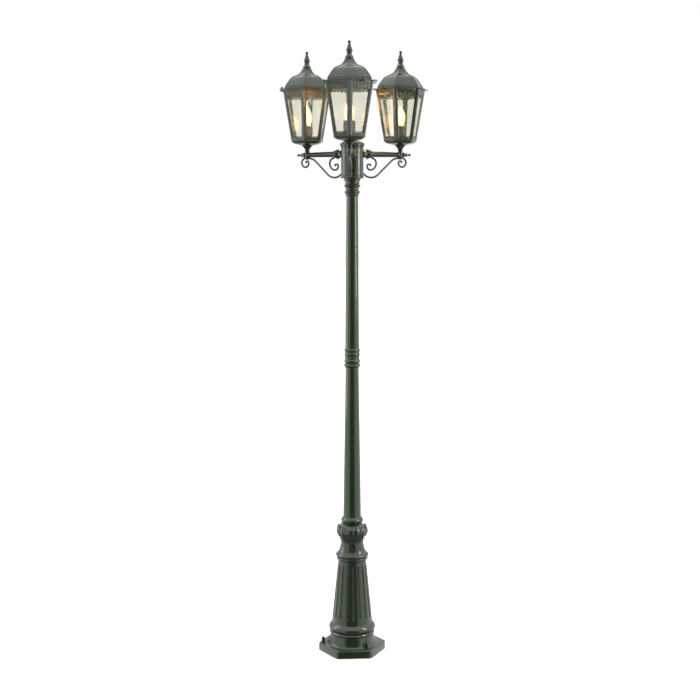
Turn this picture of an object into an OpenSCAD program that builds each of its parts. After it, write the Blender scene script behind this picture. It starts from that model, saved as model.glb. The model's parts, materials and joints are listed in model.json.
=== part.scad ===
// Lamp post with three six-sided lanterns on scroll-braced arms.
// Millimetres, +Z up. The origin is the centre of the base plate's underside.

/* [Base] */
// Width of the hexagonal base plate between flats
plate_af = 218; // [214:1:262]
// Thickness of the base plate
plate_t = 29; // [20:1:40]
// Diameter of the circle through the anchor holes
anchor_pcd = 180; // [176:1:196]
// Diameter of an anchor hole
anchor_d = 11; // [9:0.5:13]
// Diameter of the cable entry in the plate
cable_entry_d = 70; // [40:1:90]
// Height of the round foot between the plate and the fluted body
foot_h = 85; // [80:1:102]
// Height of the tapered fluted body
fluted_h = 230; // [190:1:290]
// Diameter of the fluted body at its foot
fluted_d1 = 149; // [140:0.1:179]
// Diameter of the fluted body at its top
fluted_d2 = 103; // [96:1:124]
// Number of flutes round the body
flute_count = 18; // [6:1:20]
// Width of a flute
flute_w = 9; // [6:0.5:10]
// Depth of a flute
flute_depth = 3; // [2:0.5:3.5]
// Height from the fluted body to the waist above it
shoulder_h = 62; // [52:1:75]
// Diameter of the waist above the fluted body
waist_d = 83; // [80:1:92]
// Height of the leaf collar casting on the waist
capital_h = 100; // [84:1:120]
// Wall of the base castings
base_wall = 7; // [6:0.5:9]

/* [Pole] */
// Visible length of the lower pole
lower_l = 554; // [450:1:700]
// Diameter of the lower pole at its foot
lower_d1 = 65.5; // [60:0.5:70]
// Diameter of the lower pole at its top
lower_d2 = 47.6; // [46:0.1:58]
// Height of the beaded joint between the poles
mid_h = 70; // [58:1:84]
// Visible length of the upper pole
upper_l = 546; // [450:1:700]
// Diameter of the upper pole at its foot
upper_d1 = 50.6; // [48:0.1:61]
// Diameter of the upper pole at its top
upper_d2 = 41.8; // [40:0.1:48]
// Height of the beaded joint under the hub
top_h = 66; // [54:1:80]
// Wall of the pole tubes
pole_wall = 3; // [2.5:0.5:4]
// Length of the spigots that carry the pole tubes
spigot_l = 30; // [20:1:40]

/* [Head] */
// Turn of the whole head on the pole, in degrees
head_turn = -7; // [-60:1:60]
// Diameter of the hub
hub_d = 80; // [76:1:96]
// Height of the hub
hub_h = 120; // [112:1:144]
// Wall of the hub
hub_wall = 4; // [3:0.5:5]
// Height of the arm axis above the foot of the hub
arm_up = 87; // [84:1:92]
// Distance from the pole's axis to a lantern's axis
arm_reach = 196; // [190:1:236]
// Diameter of an arm at the hub
arm_d1 = 20.8; // [19:0.1:24]
// Diameter of an arm at its lantern
arm_d2 = 16.4; // [15.5:0.1:18]
// Diameter of the scroll rods
rod_d = 7; // [5:0.5:8]

/* [Lantern] */
// Turn of each lantern on its stem against its arm, in degrees: front, left, right
lantern_turn = [4, -4, -13]; // [-30:1:30]
// Height of the cage between its rim and the eave
cage_h = 179; // [150:1:215]
// Corner radius of the cage at its foot
cage_r1 = 61; // [52:1:70]
// Corner radius of the cage at the eave
cage_r2 = 92; // [84:0.1:111]
// Height of the rim above the arm axis
rim_up = 52; // [50:1:62]
// How far the corners of the flat eave stand out past the cage
eave_out = 15; // [10:1:30]
// Height of the roof above the eave
roof_h = 74; // [62:1:89]
// How far the corners of the roof's foot stand in from the cage
roof_in = 6; // [2:1:12]
// Wall of the cast roof
roof_wall = 3; // [2.5:0.5:4]
// Height of the finial above the roof
finial_h = 63; // [52:1:76]
// Thickness of a pane
pane_t = 3; // [2:0.5:4]
// Width of one leg of a corner rib
rib_leg = 10; // [8:0.5:12]
// Thickness of the rib, gallery and valance strips
strip_t = 2; // [1.5:0.5:2.5]
// Depth of the pierced valance under the eave
valance_h = 27; // [20:1:34]
// Number of lobes on the valance of one face
valance_lobes = 5; // [3:1:6]
// Height of the gallery on the rim
gallery_h = 14; // [10:1:18]

/* [Lamp] */
// Diameter of the lampholder
holder_d = 40; // [38:1:48]
// Height of the lampholder
holder_h = 57; // [48:1:68]
// Diameter of the lamp's metal screw cap
cap_d = 26.4; // [26:0.1:27]
// Diameter of the lamp's glass
bulb_d = 35; // [30:1:42]
// Height of the lamp's glass above the holder
bulb_h = 74; // [62:1:88]

/* [Hidden] */
$fn = 64;
SIDES = ["front", "left", "right"];
PER_SIDE = ["arm", "bracket", "stem", "stem_nut", "bowl", "ribs", "panes", "valance", "lampholder",
    "lamp_cap", "lamp_glass", "roof", "finial", "roof_nuts"];
SINGLE = ["base_plate", "base_body", "base_capital", "lower_pole", "mid_joint", "upper_pole",
    "top_joint", "hub_body", "hub_cap", "cap_knob", "hub_screws", "arm_collars", "arm_end_balls",
    "terminal_block", "lamp_leads", "earth_cap"];

GREEN = "#36493c";
DARK = "#1d2120";
GLASS = "#dfe6dccc";
BRASS = "#b9a06a";

seat_gap = 0.1;      // radial clearance of parts fixed in one another
turn_gap = 0.05;     // radial clearance of the stem in its boss
face_gap = 0.3;      // clearance between faces that slide or turn on each other
plug_gap = 0.4;      // radial clearance of the lift-off hub cap and the screw-in lamp
over = 0.5;          // overshoot of a cut past a face

// Heights of the stacked pieces
foot_z = plate_t;
fluted_z = foot_z + foot_h;
shoulder_z = fluted_z + fluted_h;
capital_z = shoulder_z + shoulder_h;
lower_z = capital_z + capital_h;
mid_z = lower_z + lower_l;
upper_z = mid_z + mid_h;
top_z = upper_z + upper_l;
hub_z = top_z + top_h;
arm_z = hub_z + arm_up;
rim_z = arm_z + rim_up;
eave_z = rim_z + cage_h;

// Base sizes
plate_r = plate_af / 2 / cos(30);
flare_r = fluted_d1 / 2 + 18;
neck_r = fluted_d1 / 2 + 6;
foot_bead_r = fluted_d1 / 2 + 14.5;
shoulder_bead_r = fluted_d2 / 2 + 9.5;
leaf_r = waist_d / 2 + 15;
pocket_r = anchor_d / 2 + 5;
pocket_wall = 4;
earth_d = 15;
earth_r = max(plate_r - 18, flare_r + earth_d / 2 + 1);

// Head sizes
hub_ro = hub_d / 2;
hub_ri = hub_ro - hub_wall;
hub_floor = 6;
hub_lip = 3.5;
cap_plug_h = 6;
joint_bore = 24;
collar_x = hub_ro;
collar_l = 37;
arm_in_x = hub_ri - 2;
arm_bore = 12;
arm_tip_x = arm_reach + 28;
tip_ball_d = 10;
boss_r = 8.5;
boss_up = 12.5;
boss_down = 11.5;
stem_d = 10;
stem_bore = 7;
nut_af = 14;
nut_h = 4;
lead_d = 4;
block_size = [14, 40, 28];
block_x = 15;

// Lantern sizes
cage_side = cos(30);
face_tilt = atan((cage_r2 - cage_r1) * cage_side / cage_h);
face_l = cage_h / cos(face_tilt);
cup_r = 21;
cup_z = rim_z - 17;
bowl_h = rim_z - cup_z;
bowl_floor = 3;
floor_z = cup_z + 9;
eave_t = 3;
eave_r = cage_r2 + eave_out;
roof_r = cage_r2 - roof_in;
stud_r = cage_r2 * cage_side + 12;
ear_r = 8.5;
stud_d = 4;
stud_up = 8;
roof_nut_d = 12;
socket_h = 27;
cap_h = 24;
glass_wall = 1.2;

// ---- outlines -------------------------------------------------------------------------------

// Points of a half-round bead that swells by b from radius r0 to r1 over the height z0 to z1
function bead(r0, z0, r1, z1, b, n = 8) =
    [for (i = [0:n]) let (t = i / n) [r0 + (r1 - r0) * t + b * sin(180 * t), z0 + (z1 - z0) * t]];

// Points of a hollow or rounded sweep: power p over 1 hugs the axis first, under 1 leaves it first
function sweep(r0, z0, r1, z1, p, n = 6) =
    [for (i = [0:n]) let (t = i / n) [r0 + (r1 - r0) * pow(t, p), z0 + (z1 - z0) * t]];

// Solid of revolution of an outline given from bottom to top, closed along the axis
module turned(points) {
    last = points[len(points) - 1];
    rotate_extrude()
        polygon(concat([[0, points[0][1]]], points, [[0, last[1]]]));
}

// Hexagonal prism or frustum with a corner on +X
module hex(r1, r2, h) {
    cylinder(h = h, r1 = r1, r2 = r2, $fn = 6);
}

// Points along a bent rod of [radius, turn] arcs that follow on from each other, after the point p
// with the heading h. A positive turn bends upwards. Radius 0 is a straight run as long as its turn.
function rod_points(steps, p, h, k = 0) =
    k == len(steps) ? [] :
    let (r = steps[k][0], turn = steps[k][1])
    r == 0 ?
        let (q = p + turn * [cos(h), sin(h)]) concat([q], rod_points(steps, q, h, k + 1)) :
        let (side = sign(turn), n = ceil(abs(turn) / 18), c = p + side * r * [-sin(h), cos(h)],
            arc = [for (i = [1:n]) let (a = h + turn * i / n) c + side * r * [sin(a), -cos(a)]])
        concat(arc, rod_points(steps, arc[n - 1], h + turn, k + 1));

// The route with each inner corner rounded from the distance s before it to the distance s after it
function rounded(route, s, n = 4) = [
    for (i = [0:len(route) - 1])
        if (i == 0 || i == len(route) - 1) route[i]
        else
            let (a = route[i] + s * unit(route[i - 1] - route[i]),
                b = route[i] + s * unit(route[i + 1] - route[i]))
            each [for (k = [0:n]) let (t = k / n)
                (1 - t) * (1 - t) * a + 2 * t * (1 - t) * route[i] + t * t * b]];

function unit(v) = v / norm(v);

// Direction of a route at one of its points
function heading(route, i) =
    unit(route[min(i + 1, len(route) - 1)] - route[max(i - 1, 0)]);

// Round bar swept along a route of points
module swept(route, d, sides = 8) {
    aside = [0.29, 0.93, 0.23];
    rings = [for (i = [0:len(route) - 1])
        let (t = heading(route, i), u = unit(cross(t, aside)), v = cross(t, u))
        for (k = [0:sides - 1])
            route[i] + d / 2 * (cos(360 / sides * k) * u + sin(360 / sides * k) * v)];
    last = (len(route) - 1) * sides;
    walls = [for (i = [0:len(route) - 2], k = [0:sides - 1])
        let (m = (k + 1) % sides)
        [i * sides + k, (i + 1) * sides + k, (i + 1) * sides + m, i * sides + m]];
    polyhedron(rings, concat(walls,
        [[for (k = [0:sides - 1]) k]], [[for (k = [sides - 1:-1:0]) last + k]]), convexity = 6);
}

// ---- base -----------------------------------------------------------------------------------

function anchor_angle(i) = 180 + 120 * i;

module anchor_holes(r, z0, z1) {
    for (i = [0:2])
        rotate([0, 0, anchor_angle(i)])
            translate([anchor_pcd / 2, 0, z0])
                cylinder(h = z1 - z0, r = r);
}

module base_plate() {
    color(GREEN)
        difference() {
            intersection() {
                cylinder(h = plate_t, r = plate_r, $fn = 6);
                cylinder(h = plate_t, r = plate_r - 3);
            }
            translate([0, 0, -over])
                cylinder(h = plate_t + 2 * over, d = cable_entry_d);
            anchor_holes(anchor_d / 2, -over, plate_t + over);
        }
}

function foot_outline() = concat(
    sweep(flare_r, foot_z, neck_r, foot_z + foot_h * 0.4, 0.45),
    bead(neck_r, foot_z + foot_h * 0.43, neck_r, foot_z + foot_h * 0.56, 3, 4),
    bead(neck_r, foot_z + foot_h * 0.56, fluted_d1 / 2, foot_z + foot_h * 0.94, foot_bead_r - neck_r),
    [[fluted_d1 / 2, fluted_z]]);

function shoulder_outline() = concat(
    bead(fluted_d2 / 2, shoulder_z, fluted_d2 / 2 + 4, shoulder_z + shoulder_h * 0.44,
        shoulder_bead_r - fluted_d2 / 2 - 2),
    sweep(fluted_d2 / 2 + 2, shoulder_z + shoulder_h * 0.46, waist_d / 2, capital_z, 0.6));

function bore_r(r) = r - base_wall;

module flutes() {
    slope = atan((fluted_d1 - fluted_d2) / 2 / fluted_h);
    end = 16 + flute_w / 2;
    length = (fluted_h - 2 * end) / cos(slope);
    for (i = [0:flute_count - 1])
        rotate([0, 0, -90 + 360 / flute_count * i])
            translate([fluted_d1 / 2 - end * tan(slope) + flute_w / 2 - flute_depth, 0, fluted_z + end])
                rotate([0, -slope, 0]) {
                    cylinder(h = length, d = flute_w, $fn = 24);
                    sphere(d = flute_w, $fn = 24);
                    translate([0, 0, length])
                        sphere(d = flute_w, $fn = 24);
                }
}

module base_body() {
    foot_bore_r = min(bore_r(fluted_d1 / 2), anchor_pcd / 2 - pocket_r - pocket_wall);
    inner = [
        [foot_bore_r, foot_z - over],
        [foot_bore_r, fluted_z],
        [bore_r(fluted_d2 / 2), shoulder_z],
        [bore_r(waist_d / 2), capital_z - 8],
        [bore_r(waist_d / 2), capital_z + over]];
    color(GREEN)
        difference() {
            turned(concat(foot_outline(), shoulder_outline()));
            turned(inner);
            flutes();
            anchor_holes(pocket_r, foot_z - over, foot_z + foot_h * 0.45);
        }
}

function capital_outline() = concat(
    sweep(waist_d / 2, capital_z, leaf_r - 4, capital_z + capital_h * 0.34, 1.8),
    bead(leaf_r - 4, capital_z + capital_h * 0.34, leaf_r - 10, capital_z + capital_h * 0.67, 7),
    sweep(leaf_r - 10, capital_z + capital_h * 0.67, lower_d1 / 2 + 3, capital_z + capital_h * 0.74, 1, 1),
    bead(lower_d1 / 2 + 3, capital_z + capital_h * 0.76, lower_d1 / 2 + 1, lower_z, 6));

module base_capital() {
    spigot_r = lower_d1 / 2 - pole_wall - (lower_d1 - lower_d2) / 2 * spigot_l / lower_l - seat_gap;
    color(GREEN)
        difference() {
            union() {
                turned(capital_outline());
                translate([0, 0, capital_z - spigot_l])
                    cylinder(h = spigot_l + over, r = bore_r(waist_d / 2) - seat_gap);
                translate([0, 0, lower_z - over])
                    cylinder(h = spigot_l + over, r = spigot_r);
            }
            translate([0, 0, capital_z - spigot_l - over])
                cylinder(h = capital_h + 2 * spigot_l + 2 * over, r = spigot_r - base_wall + 2);
        }
}

module earth_cap() {
    height = 21;
    color(DARK)
        rotate([0, 0, 180])
            translate([earth_r, 0, plate_t]) {
                cylinder(h = 3, d = earth_d);
                cylinder(h = height - earth_d / 2 + 1, d = earth_d - 2);
                translate([0, 0, height - earth_d / 2 + 1])
                    sphere(d = earth_d - 2);
            }
}

// ---- pole -----------------------------------------------------------------------------------

module pole_tube(z, length, d1, d2) {
    color(GREEN)
        translate([0, 0, z])
            difference() {
                cylinder(h = length, d1 = d1, d2 = d2);
                translate([0, 0, -over])
                    cylinder(h = length + 2 * over,
                        r1 = d1 / 2 - pole_wall + (d1 - d2) / 2 * over / length,
                        r2 = d2 / 2 - pole_wall - (d1 - d2) / 2 * over / length);
            }
}

module lower_pole() {
    pole_tube(lower_z, lower_l, lower_d1, lower_d2);
}

module upper_pole() {
    pole_tube(upper_z, upper_l, upper_d1, upper_d2);
}

function mid_outline() =
    let (r = upper_d1 / 2, low = lower_d2 / 2, s = mid_h / 70) concat(
        [[low + 1, mid_z]],
        bead(low + 1.5, mid_z + 2 * s, r + 0.8, mid_z + 14 * s, 4.6, 6),
        bead(r + 0.8, mid_z + 16 * s, r + 0.8, mid_z + 31 * s, 3, 6),
        [[r + 0.5, mid_z + 35 * s], [r + 0.5, mid_z + 38 * s]],
        bead(r + 0.8, mid_z + 42 * s, r + 0.8, mid_z + 55 * s, 2.2, 6),
        bead(r + 0.8, mid_z + 57 * s, r + 0.6, mid_z + 69 * s, 2.8, 6),
        [[r + 0.5, upper_z]]);

module mid_joint() {
    down_r = lower_d2 / 2 - pole_wall - seat_gap;
    up_r = upper_d1 / 2 - pole_wall - (upper_d1 - upper_d2) / 2 * spigot_l / upper_l - seat_gap;
    color(GREEN)
        difference() {
            union() {
                turned(mid_outline());
                translate([0, 0, mid_z - spigot_l])
                    cylinder(h = spigot_l + over, r = down_r);
                translate([0, 0, upper_z - over])
                    cylinder(h = spigot_l + over, r = up_r);
            }
            translate([0, 0, mid_z - spigot_l - over])
                cylinder(h = mid_h + 2 * spigot_l + 2 * over, d = joint_bore);
        }
}

function top_outline() =
    let (r = upper_d2 / 2, s = top_h / 66) concat(
        [[r + 0.5, top_z]],
        sweep(r + 0.5, top_z + 2 * s, r + 3.5, top_z + 9 * s, 1, 1),
        bead(r + 3.5, top_z + 12 * s, r + 2.5, top_z + 23 * s, 4.5, 6),
        [[r + 2.4, top_z + 26 * s], [r + 2.4, top_z + 31 * s]],
        bead(r + 2.5, top_z + 33 * s, r + 4, top_z + 45 * s, 5.5, 6),
        [[r + 5.2, top_z + 49 * s], [r + 5.2, top_z + 57 * s]],
        sweep(r + 6, top_z + 57 * s, r + 9.3, top_z + 62 * s, 0.5, 3),
        [[r + 9.3, hub_z]]);

module top_joint() {
    down_r = upper_d2 / 2 - pole_wall - seat_gap;
    color(GREEN)
        difference() {
            union() {
                turned(top_outline());
                translate([0, 0, top_z - spigot_l])
                    cylinder(h = spigot_l + over, r = down_r);
                translate([0, 0, hub_z])
                    cylinder(h = hub_floor, r = hub_ri - seat_gap);
            }
            translate([0, 0, top_z - spigot_l - over])
                cylinder(h = top_h + spigot_l + hub_floor + 2 * over, d = joint_bore);
        }
}

// ---- hub ------------------------------------------------------------------------------------

function arm_angle(i) = -90 + head_turn - 120 * i;

// Places children in the frame of an arm: +X along the arm, Z = 0 on its axis
module on_arm(i) {
    translate([0, 0, arm_z])
        rotate([0, 0, arm_angle(i)])
            children();
}

// Turns children so that their Z runs along the arm
module along_arm(x) {
    translate([x, 0, 0])
        rotate([0, 90, 0])
            children();
}

module hub_body() {
    color(GREEN)
        difference() {
            turned([
                [hub_ro + 1.5, hub_z], [hub_ro + 1.5, hub_z + 4],
                [hub_ro, hub_z + 5.5], [hub_ro, hub_z + hub_h - 8],
                [hub_ro + hub_lip, hub_z + hub_h - 5], [hub_ro + hub_lip, hub_z + hub_h]]);
            translate([0, 0, hub_z - over])
                cylinder(h = hub_h + 2 * over, r = hub_ri);
            for (i = [0:2])
                on_arm(i)
                    along_arm(0)
                        cylinder(h = hub_d, r = arm_d1 / 2 + seat_gap);
        }
}

module hub_cap() {
    z = hub_z + hub_h;
    r = hub_ro + hub_lip;
    color(GREEN)
        difference() {
            union() {
                turned(concat(
                    [[r, z], [r + 1, z + 1.5], [r, z + 4]],
                    sweep(r - 5, z + 5, 9, z + 17, 2.2)));
                translate([0, 0, z - cap_plug_h])
                    cylinder(h = cap_plug_h + over, r = hub_ri - plug_gap);
            }
            translate([0, 0, z - cap_plug_h - over])
                cylinder(h = cap_plug_h + 2, r = hub_ri - plug_gap - 4);
        }
}

module cap_knob() {
    z = hub_z + hub_h + 17;
    color(GREEN) {
        translate([0, 0, z])
            cylinder(h = 3, r = 5);
        translate([0, 0, z + 6])
            sphere(r = 5);
    }
}

module hub_screws() {
    color(GREEN)
        for (i = [0:2])
            on_arm(i)
                translate([hub_ro, 0, -48])
                    rotate([0, 90, 0]) {
                        cylinder(h = 2.5, r = 3.5);
                        translate([0, 0, 2.5])
                            sphere(r = 2.6);
                    }
}

module terminal_block() {
    color("ivory")
        rotate([0, 0, 90 + head_turn])
            difference() {
                translate([block_x, -block_size[1] / 2, hub_z + hub_floor])
                    cube(block_size);
                for (k = [-1:1])
                    translate([block_x + block_size[0] / 2, k * 13, hub_z + hub_floor + block_size[2] - 10])
                        cylinder(h = 10 + over, d = lead_d + 2 * seat_gap);
            }
}

// Route of a lead: up out of the block, across the hub, along the arm and up the stem
function lead_route(i) =
    let (k = [0, 1, -1][i],
        out = [cos(arm_angle(i)), sin(arm_angle(i)), 0],
        back = 90 + head_turn,
        bx = block_x + block_size[0] / 2,
        start = [bx * cos(back) - 13 * k * sin(back), bx * sin(back) + 13 * k * cos(back), 0],
        z0 = hub_z + hub_floor + block_size[2] - 8,
        level = [0, 0, arm_z])
    rounded([start + [0, 0, z0], start + level, (hub_ri - 14) * out + level,
        arm_reach * out + level, arm_reach * out + [0, 0, floor_z + 4]], 6);

module lamp_leads() {
    color(DARK)
        for (i = [0:2])
            swept(lead_route(i), lead_d);
}

// ---- arms -----------------------------------------------------------------------------------

module arm(i) {
    straight = collar_x + collar_l - arm_in_x;
    taper = arm_reach + boss_r - arm_in_x - straight;
    color(GREEN)
        on_arm(i)
            difference() {
                union() {
                    along_arm(arm_in_x)
                        cylinder(h = straight, d = arm_d1);
                    along_arm(arm_in_x + straight)
                        cylinder(h = taper, d1 = arm_d1, d2 = arm_d2);
                    along_arm(arm_reach + boss_r)
                        cylinder(h = arm_tip_x - arm_reach - boss_r, d1 = arm_d2, d2 = arm_d2 - 4);
                    translate([arm_reach, 0, -boss_down])
                        cylinder(h = boss_up + boss_down, r = boss_r);
                }
                along_arm(arm_in_x - over)
                    cylinder(h = arm_reach - arm_in_x + over, d = arm_bore);
                translate([arm_reach, 0, -boss_down - over])
                    cylinder(h = boss_up + boss_down + 2 * over, d = stem_d + 2 * turn_gap);
            }
}

module arm_collars() {
    r = arm_d1 / 2;
    outline = concat(
        sweep(r + 6.5, 0, r + 2.5, 11, 0.5, 5),
        [[r + 2.5, 16], [r + 4, 20], [r + 8.6, 24.5], [r + 4, 28.5]],
        bead(r + 2.4, 29, r + 1.4, collar_l, 1.6, 5));
    color(GREEN)
        for (i = [0:2])
            on_arm(i)
                along_arm(collar_x)
                    difference() {
                        turned(outline);
                        translate([0, 0, -over])
                            cylinder(h = collar_l + 2 * over, d = arm_d1 + 2 * seat_gap);
                    }
}

module arm_end_balls() {
    color(GREEN)
        for (i = [0:2])
            on_arm(i)
                along_arm(arm_tip_x) {
                    cylinder(h = 2, r = 4.6);
                    cylinder(h = 9, r = 2.6);
                    translate([0, 0, 11])
                        sphere(d = tip_ball_d);
                }
}

// Rod in the plane of an arm, from the point p with the heading h, with a ball on its far end
module bent_rod(p, h, steps, ball_d) {
    flat = concat([p, p + [cos(h), sin(h)]], rod_points(steps, p + [cos(h), sin(h)], h));
    route = [for (q = flat) [q[0], 0, q[1]]];
    swept(route, rod_d);
    if (ball_d > 0)
        translate(route[len(route) - 1])
            sphere(d = ball_d, $fn = 24);
}

// Height of a rod's axis under a round bar, so that the two touch
function under_bar(bar_d) = -bar_d / 2 - rod_d / 2 - seat_gap;

// The long rod: down from the hub, up to the arm, level under it and up against its boss
module long_rod() {
    rise = 42;
    dive = 50;
    x0 = hub_ro + rod_d / 2 * sin(dive) + seat_gap;
    x1 = arm_reach - boss_r - 1.5;
    z0 = -67;
    z1 = under_bar(arm_d2);
    low_r = 0.3 * (x1 - x0);
    rise_x = x0 + low_r * (sin(dive) + sin(rise));
    rise_z = z0 + low_r * (cos(dive) - cos(rise));
    crest_r = (x1 - rise_x - (z1 - rise_z) / tan(rise)) / tan(rise / 2);
    rise_l = (z1 - crest_r * (1 - cos(rise)) - rise_z) / sin(rise);
    bent_rod([x0, z0], -dive, [[low_r, dive + rise], [0, rise_l], [crest_r, -rise]], 0);
}

// The curl that carries the long rod's line on beyond the boss
module end_curl() {
    bent_rod([arm_reach + boss_r + 1.5, under_bar(arm_d2)], -10,
        [[16, -165], [15, -100], [6, -150]], rod_d + 2);
}

// The C-shaped scroll between the arm's root and the hub
module hub_scroll() {
    bent_rod([hub_ro + collar_l + 1, under_bar(arm_d1)], 0,
        [[18, -90], [24, -90], [13, -95], [7, -140]], rod_d + 2);
}

module bracket(i) {
    color(GREEN)
        on_arm(i) {
            long_rod();
            end_curl();
            hub_scroll();
        }
}

// ---- lanterns -------------------------------------------------------------------------------

// Places children on a lantern's axis at the height of the arm
module on_stem(i) {
    on_arm(i)
        translate([arm_reach, 0, 0])
            children();
}

// The same frame, turned as the lantern is turned on its stem, with Z = 0 at the plate's underside
module on_lantern(i) {
    on_stem(i)
        rotate([0, 0, lantern_turn[i]])
            translate([0, 0, -arm_z])
                children();
}

// Frame of a cage face: +X out of the face, Y along it and Z up its slope from the rim
module on_face(j) {
    rotate([0, 0, 30 + 60 * j])
        translate([cage_r1 * cage_side, 0, rim_z])
            rotate([0, face_tilt, 0])
                children();
}

// Half the width of a cage face at the distance w up its slope
function half_face(w) = (cage_r1 + (cage_r2 - cage_r1) * w / face_l) / 2;

// Plate in a cage face from slope w0 to w1, sunk by depth, with its sides inset by gap
module face_plate(depth, t, w0, w1, gap) {
    translate([-depth - t, 0, 0])
        rotate([90, 0, 90])
            linear_extrude(t)
                polygon([
                    [gap - half_face(w0), w0], [half_face(w0) - gap, w0],
                    [half_face(w1) - gap, w1], [gap - half_face(w1), w1]]);
}

module stem(i) {
    foot = -boss_down - face_gap - nut_h - 1;
    top = floor_z + bowl_floor + 5 - arm_z;
    neck_z = boss_up + face_gap;
    color(GREEN)
        on_stem(i)
            difference() {
                union() {
                    translate([0, 0, foot])
                        cylinder(h = top - foot, d = stem_d);
                    turned(concat(
                        [[boss_r - 0.5, neck_z], [boss_r + 1, neck_z + 1.5], [boss_r, neck_z + 4]],
                        sweep(boss_r - 0.5, neck_z + 5, cup_r, cup_z - arm_z, 2.4, 8)));
                }
                translate([0, 0, foot - over])
                    cylinder(h = top - foot + 2 * over, d = stem_bore);
                translate([-stem_d, -stem_d, -lead_d / 2 - 2])
                    cube([stem_d, 2 * stem_d, lead_d + 4]);
            }
}

module stem_nut(i) {
    color(GREEN)
        on_stem(i)
            translate([0, 0, -boss_down - face_gap - nut_h])
                difference() {
                    cylinder(h = nut_h, d = nut_af / cos(30), $fn = 6);
                    translate([0, 0, -over])
                        cylinder(h = nut_h + 2 * over, d = stem_d + 2 * seat_gap);
                }
}

module bowl(i) {
    rim_r = cage_r1 + 1.5;
    color(GREEN)
        on_lantern(i) {
            difference() {
                union() {
                    translate([0, 0, cup_z])
                        hex(cup_r, rim_r - 12, bowl_h * 0.35);
                    translate([0, 0, cup_z + bowl_h * 0.35])
                        hex(rim_r - 12, rim_r - 2, bowl_h * 0.35);
                    translate([0, 0, cup_z + bowl_h * 0.7])
                        hex(rim_r, rim_r, bowl_h * 0.3);
                }
                translate([0, 0, floor_z + bowl_floor])
                    hex(rim_r - 13, rim_r - 10, bowl_h);
                translate([0, 0, cup_z - over])
                    cylinder(h = bowl_h, d = stem_d + 2 * seat_gap);
            }
            for (j = [0:5])
                on_face(j)
                    translate([-strip_t, 0, 0])
                        rotate([90, 0, 90])
                            linear_extrude(strip_t)
                                gallery_outline();
        }
}

// Gallery strip of one face: a low band with four round lobes on it
module gallery_outline() {
    lobe_r = (half_face(0) - rib_leg) / 4;
    band = gallery_h - lobe_r;
    half = half_face(0) - rib_leg;
    difference() {
        union() {
            translate([-half, -1.5])
                square([2 * half, band + 1.5]);
            for (k = [-1.5:1:1.5])
                translate([k * 2 * lobe_r, band])
                    circle(r = lobe_r, $fn = 32);
        }
        for (k = [-1.5:1:1.5])
            translate([k * 2 * lobe_r, band])
                circle(r = lobe_r * 0.45, $fn = 24);
    }
}

module ribs(i) {
    color(GREEN)
        on_lantern(i)
            intersection() {
                for (j = [0:5])
                    on_face(j)
                        for (s = [-1, 1])
                            translate([-strip_t, 0, 0])
                                rotate([90, 0, 90])
                                    linear_extrude(strip_t)
                                        polygon([
                                            [s * half_face(-5), -5], [s * (half_face(-5) - rib_leg), -5],
                                            [s * (half_face(face_l + 5) - rib_leg), face_l + 5],
                                            [s * half_face(face_l + 5), face_l + 5]]);
                translate([0, 0, rim_z])
                    cylinder(h = cage_h, r = cage_r2 + 20);
            }
}

module panes(i) {
    color(GLASS)
        on_lantern(i)
            for (j = [0:5])
                on_face(j)
                    face_plate(strip_t + seat_gap, pane_t, -0.25, face_l - strip_t, strip_t + pane_t);
}

// Valance strip of one face: a band with hanging lobes, pierced with round holes
module valance_outline() {
    top = face_l - 1;
    reach = (valance_lobes - 1) / 2;
    half = half_face(face_l - valance_h) - rib_leg;
    lobe_r = half / valance_lobes;
    low = top - valance_h + lobe_r;
    difference() {
        union() {
            polygon([[-half, low], [half, low],
                [half_face(top) - rib_leg, top], [rib_leg - half_face(top), top]]);
            for (k = [-reach:reach])
                translate([2 * k * lobe_r, low])
                    circle(r = lobe_r, $fn = 40);
        }
        for (k = [-reach:reach])
            translate([2 * k * lobe_r, low])
                circle(r = lobe_r * 0.5, $fn = 24);
        for (k = [0.5 - reach:reach - 0.5])
            translate([2 * k * lobe_r, low + lobe_r * 0.9])
                circle(r = lobe_r * 0.3, $fn = 24);
    }
}

module valance(i) {
    color(GREEN)
        on_lantern(i) {
            for (j = [0:5])
                on_face(j)
                    translate([-strip_t, 0, 0])
                        rotate([90, 0, 90])
                            linear_extrude(strip_t)
                                valance_outline();
            for (s = [-1, 1])
                rotate([0, 0, 90 * s]) {
                    translate([cage_r2 * cage_side - 2, -6, eave_z - 3])
                        cube([stud_r + 5 - cage_r2 * cage_side + 2, 12, 3]);
                    translate([stud_r, 0, eave_z - 1])
                        cylinder(h = eave_t + stud_up + 1, d = stud_d, $fn = 24);
                }
        }
}

module lampholder(i) {
    foot = floor_z + bowl_floor;
    top = foot + holder_h;
    r = holder_d / 2;
    color(DARK)
        on_lantern(i)
            difference() {
                turned([
                    [r - 3, foot], [r - 3, foot + 6], [r - 1, foot + 8], [r - 1, top - socket_h - 4],
                    [r, top - socket_h - 2], [r, top - 3], [r - 2, top]]);
                translate([0, 0, top - socket_h])
                    cylinder(h = socket_h + over, d = cap_d + 2 * plug_gap);
                translate([0, 0, foot - over])
                    cylinder(h = 8, d = stem_d + 2 * seat_gap);
            }
}

function holder_top() = floor_z + bowl_floor + holder_h;

module lamp_cap(i) {
    color(BRASS)
        on_lantern(i)
            turned([
                [4.5, holder_top() - cap_h - 2], [4.5, holder_top() - cap_h],
                [cap_d / 2 - 3, holder_top() - cap_h + 1], [cap_d / 2, holder_top() - cap_h + 5],
                [cap_d / 2, holder_top()]]);
}

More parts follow.
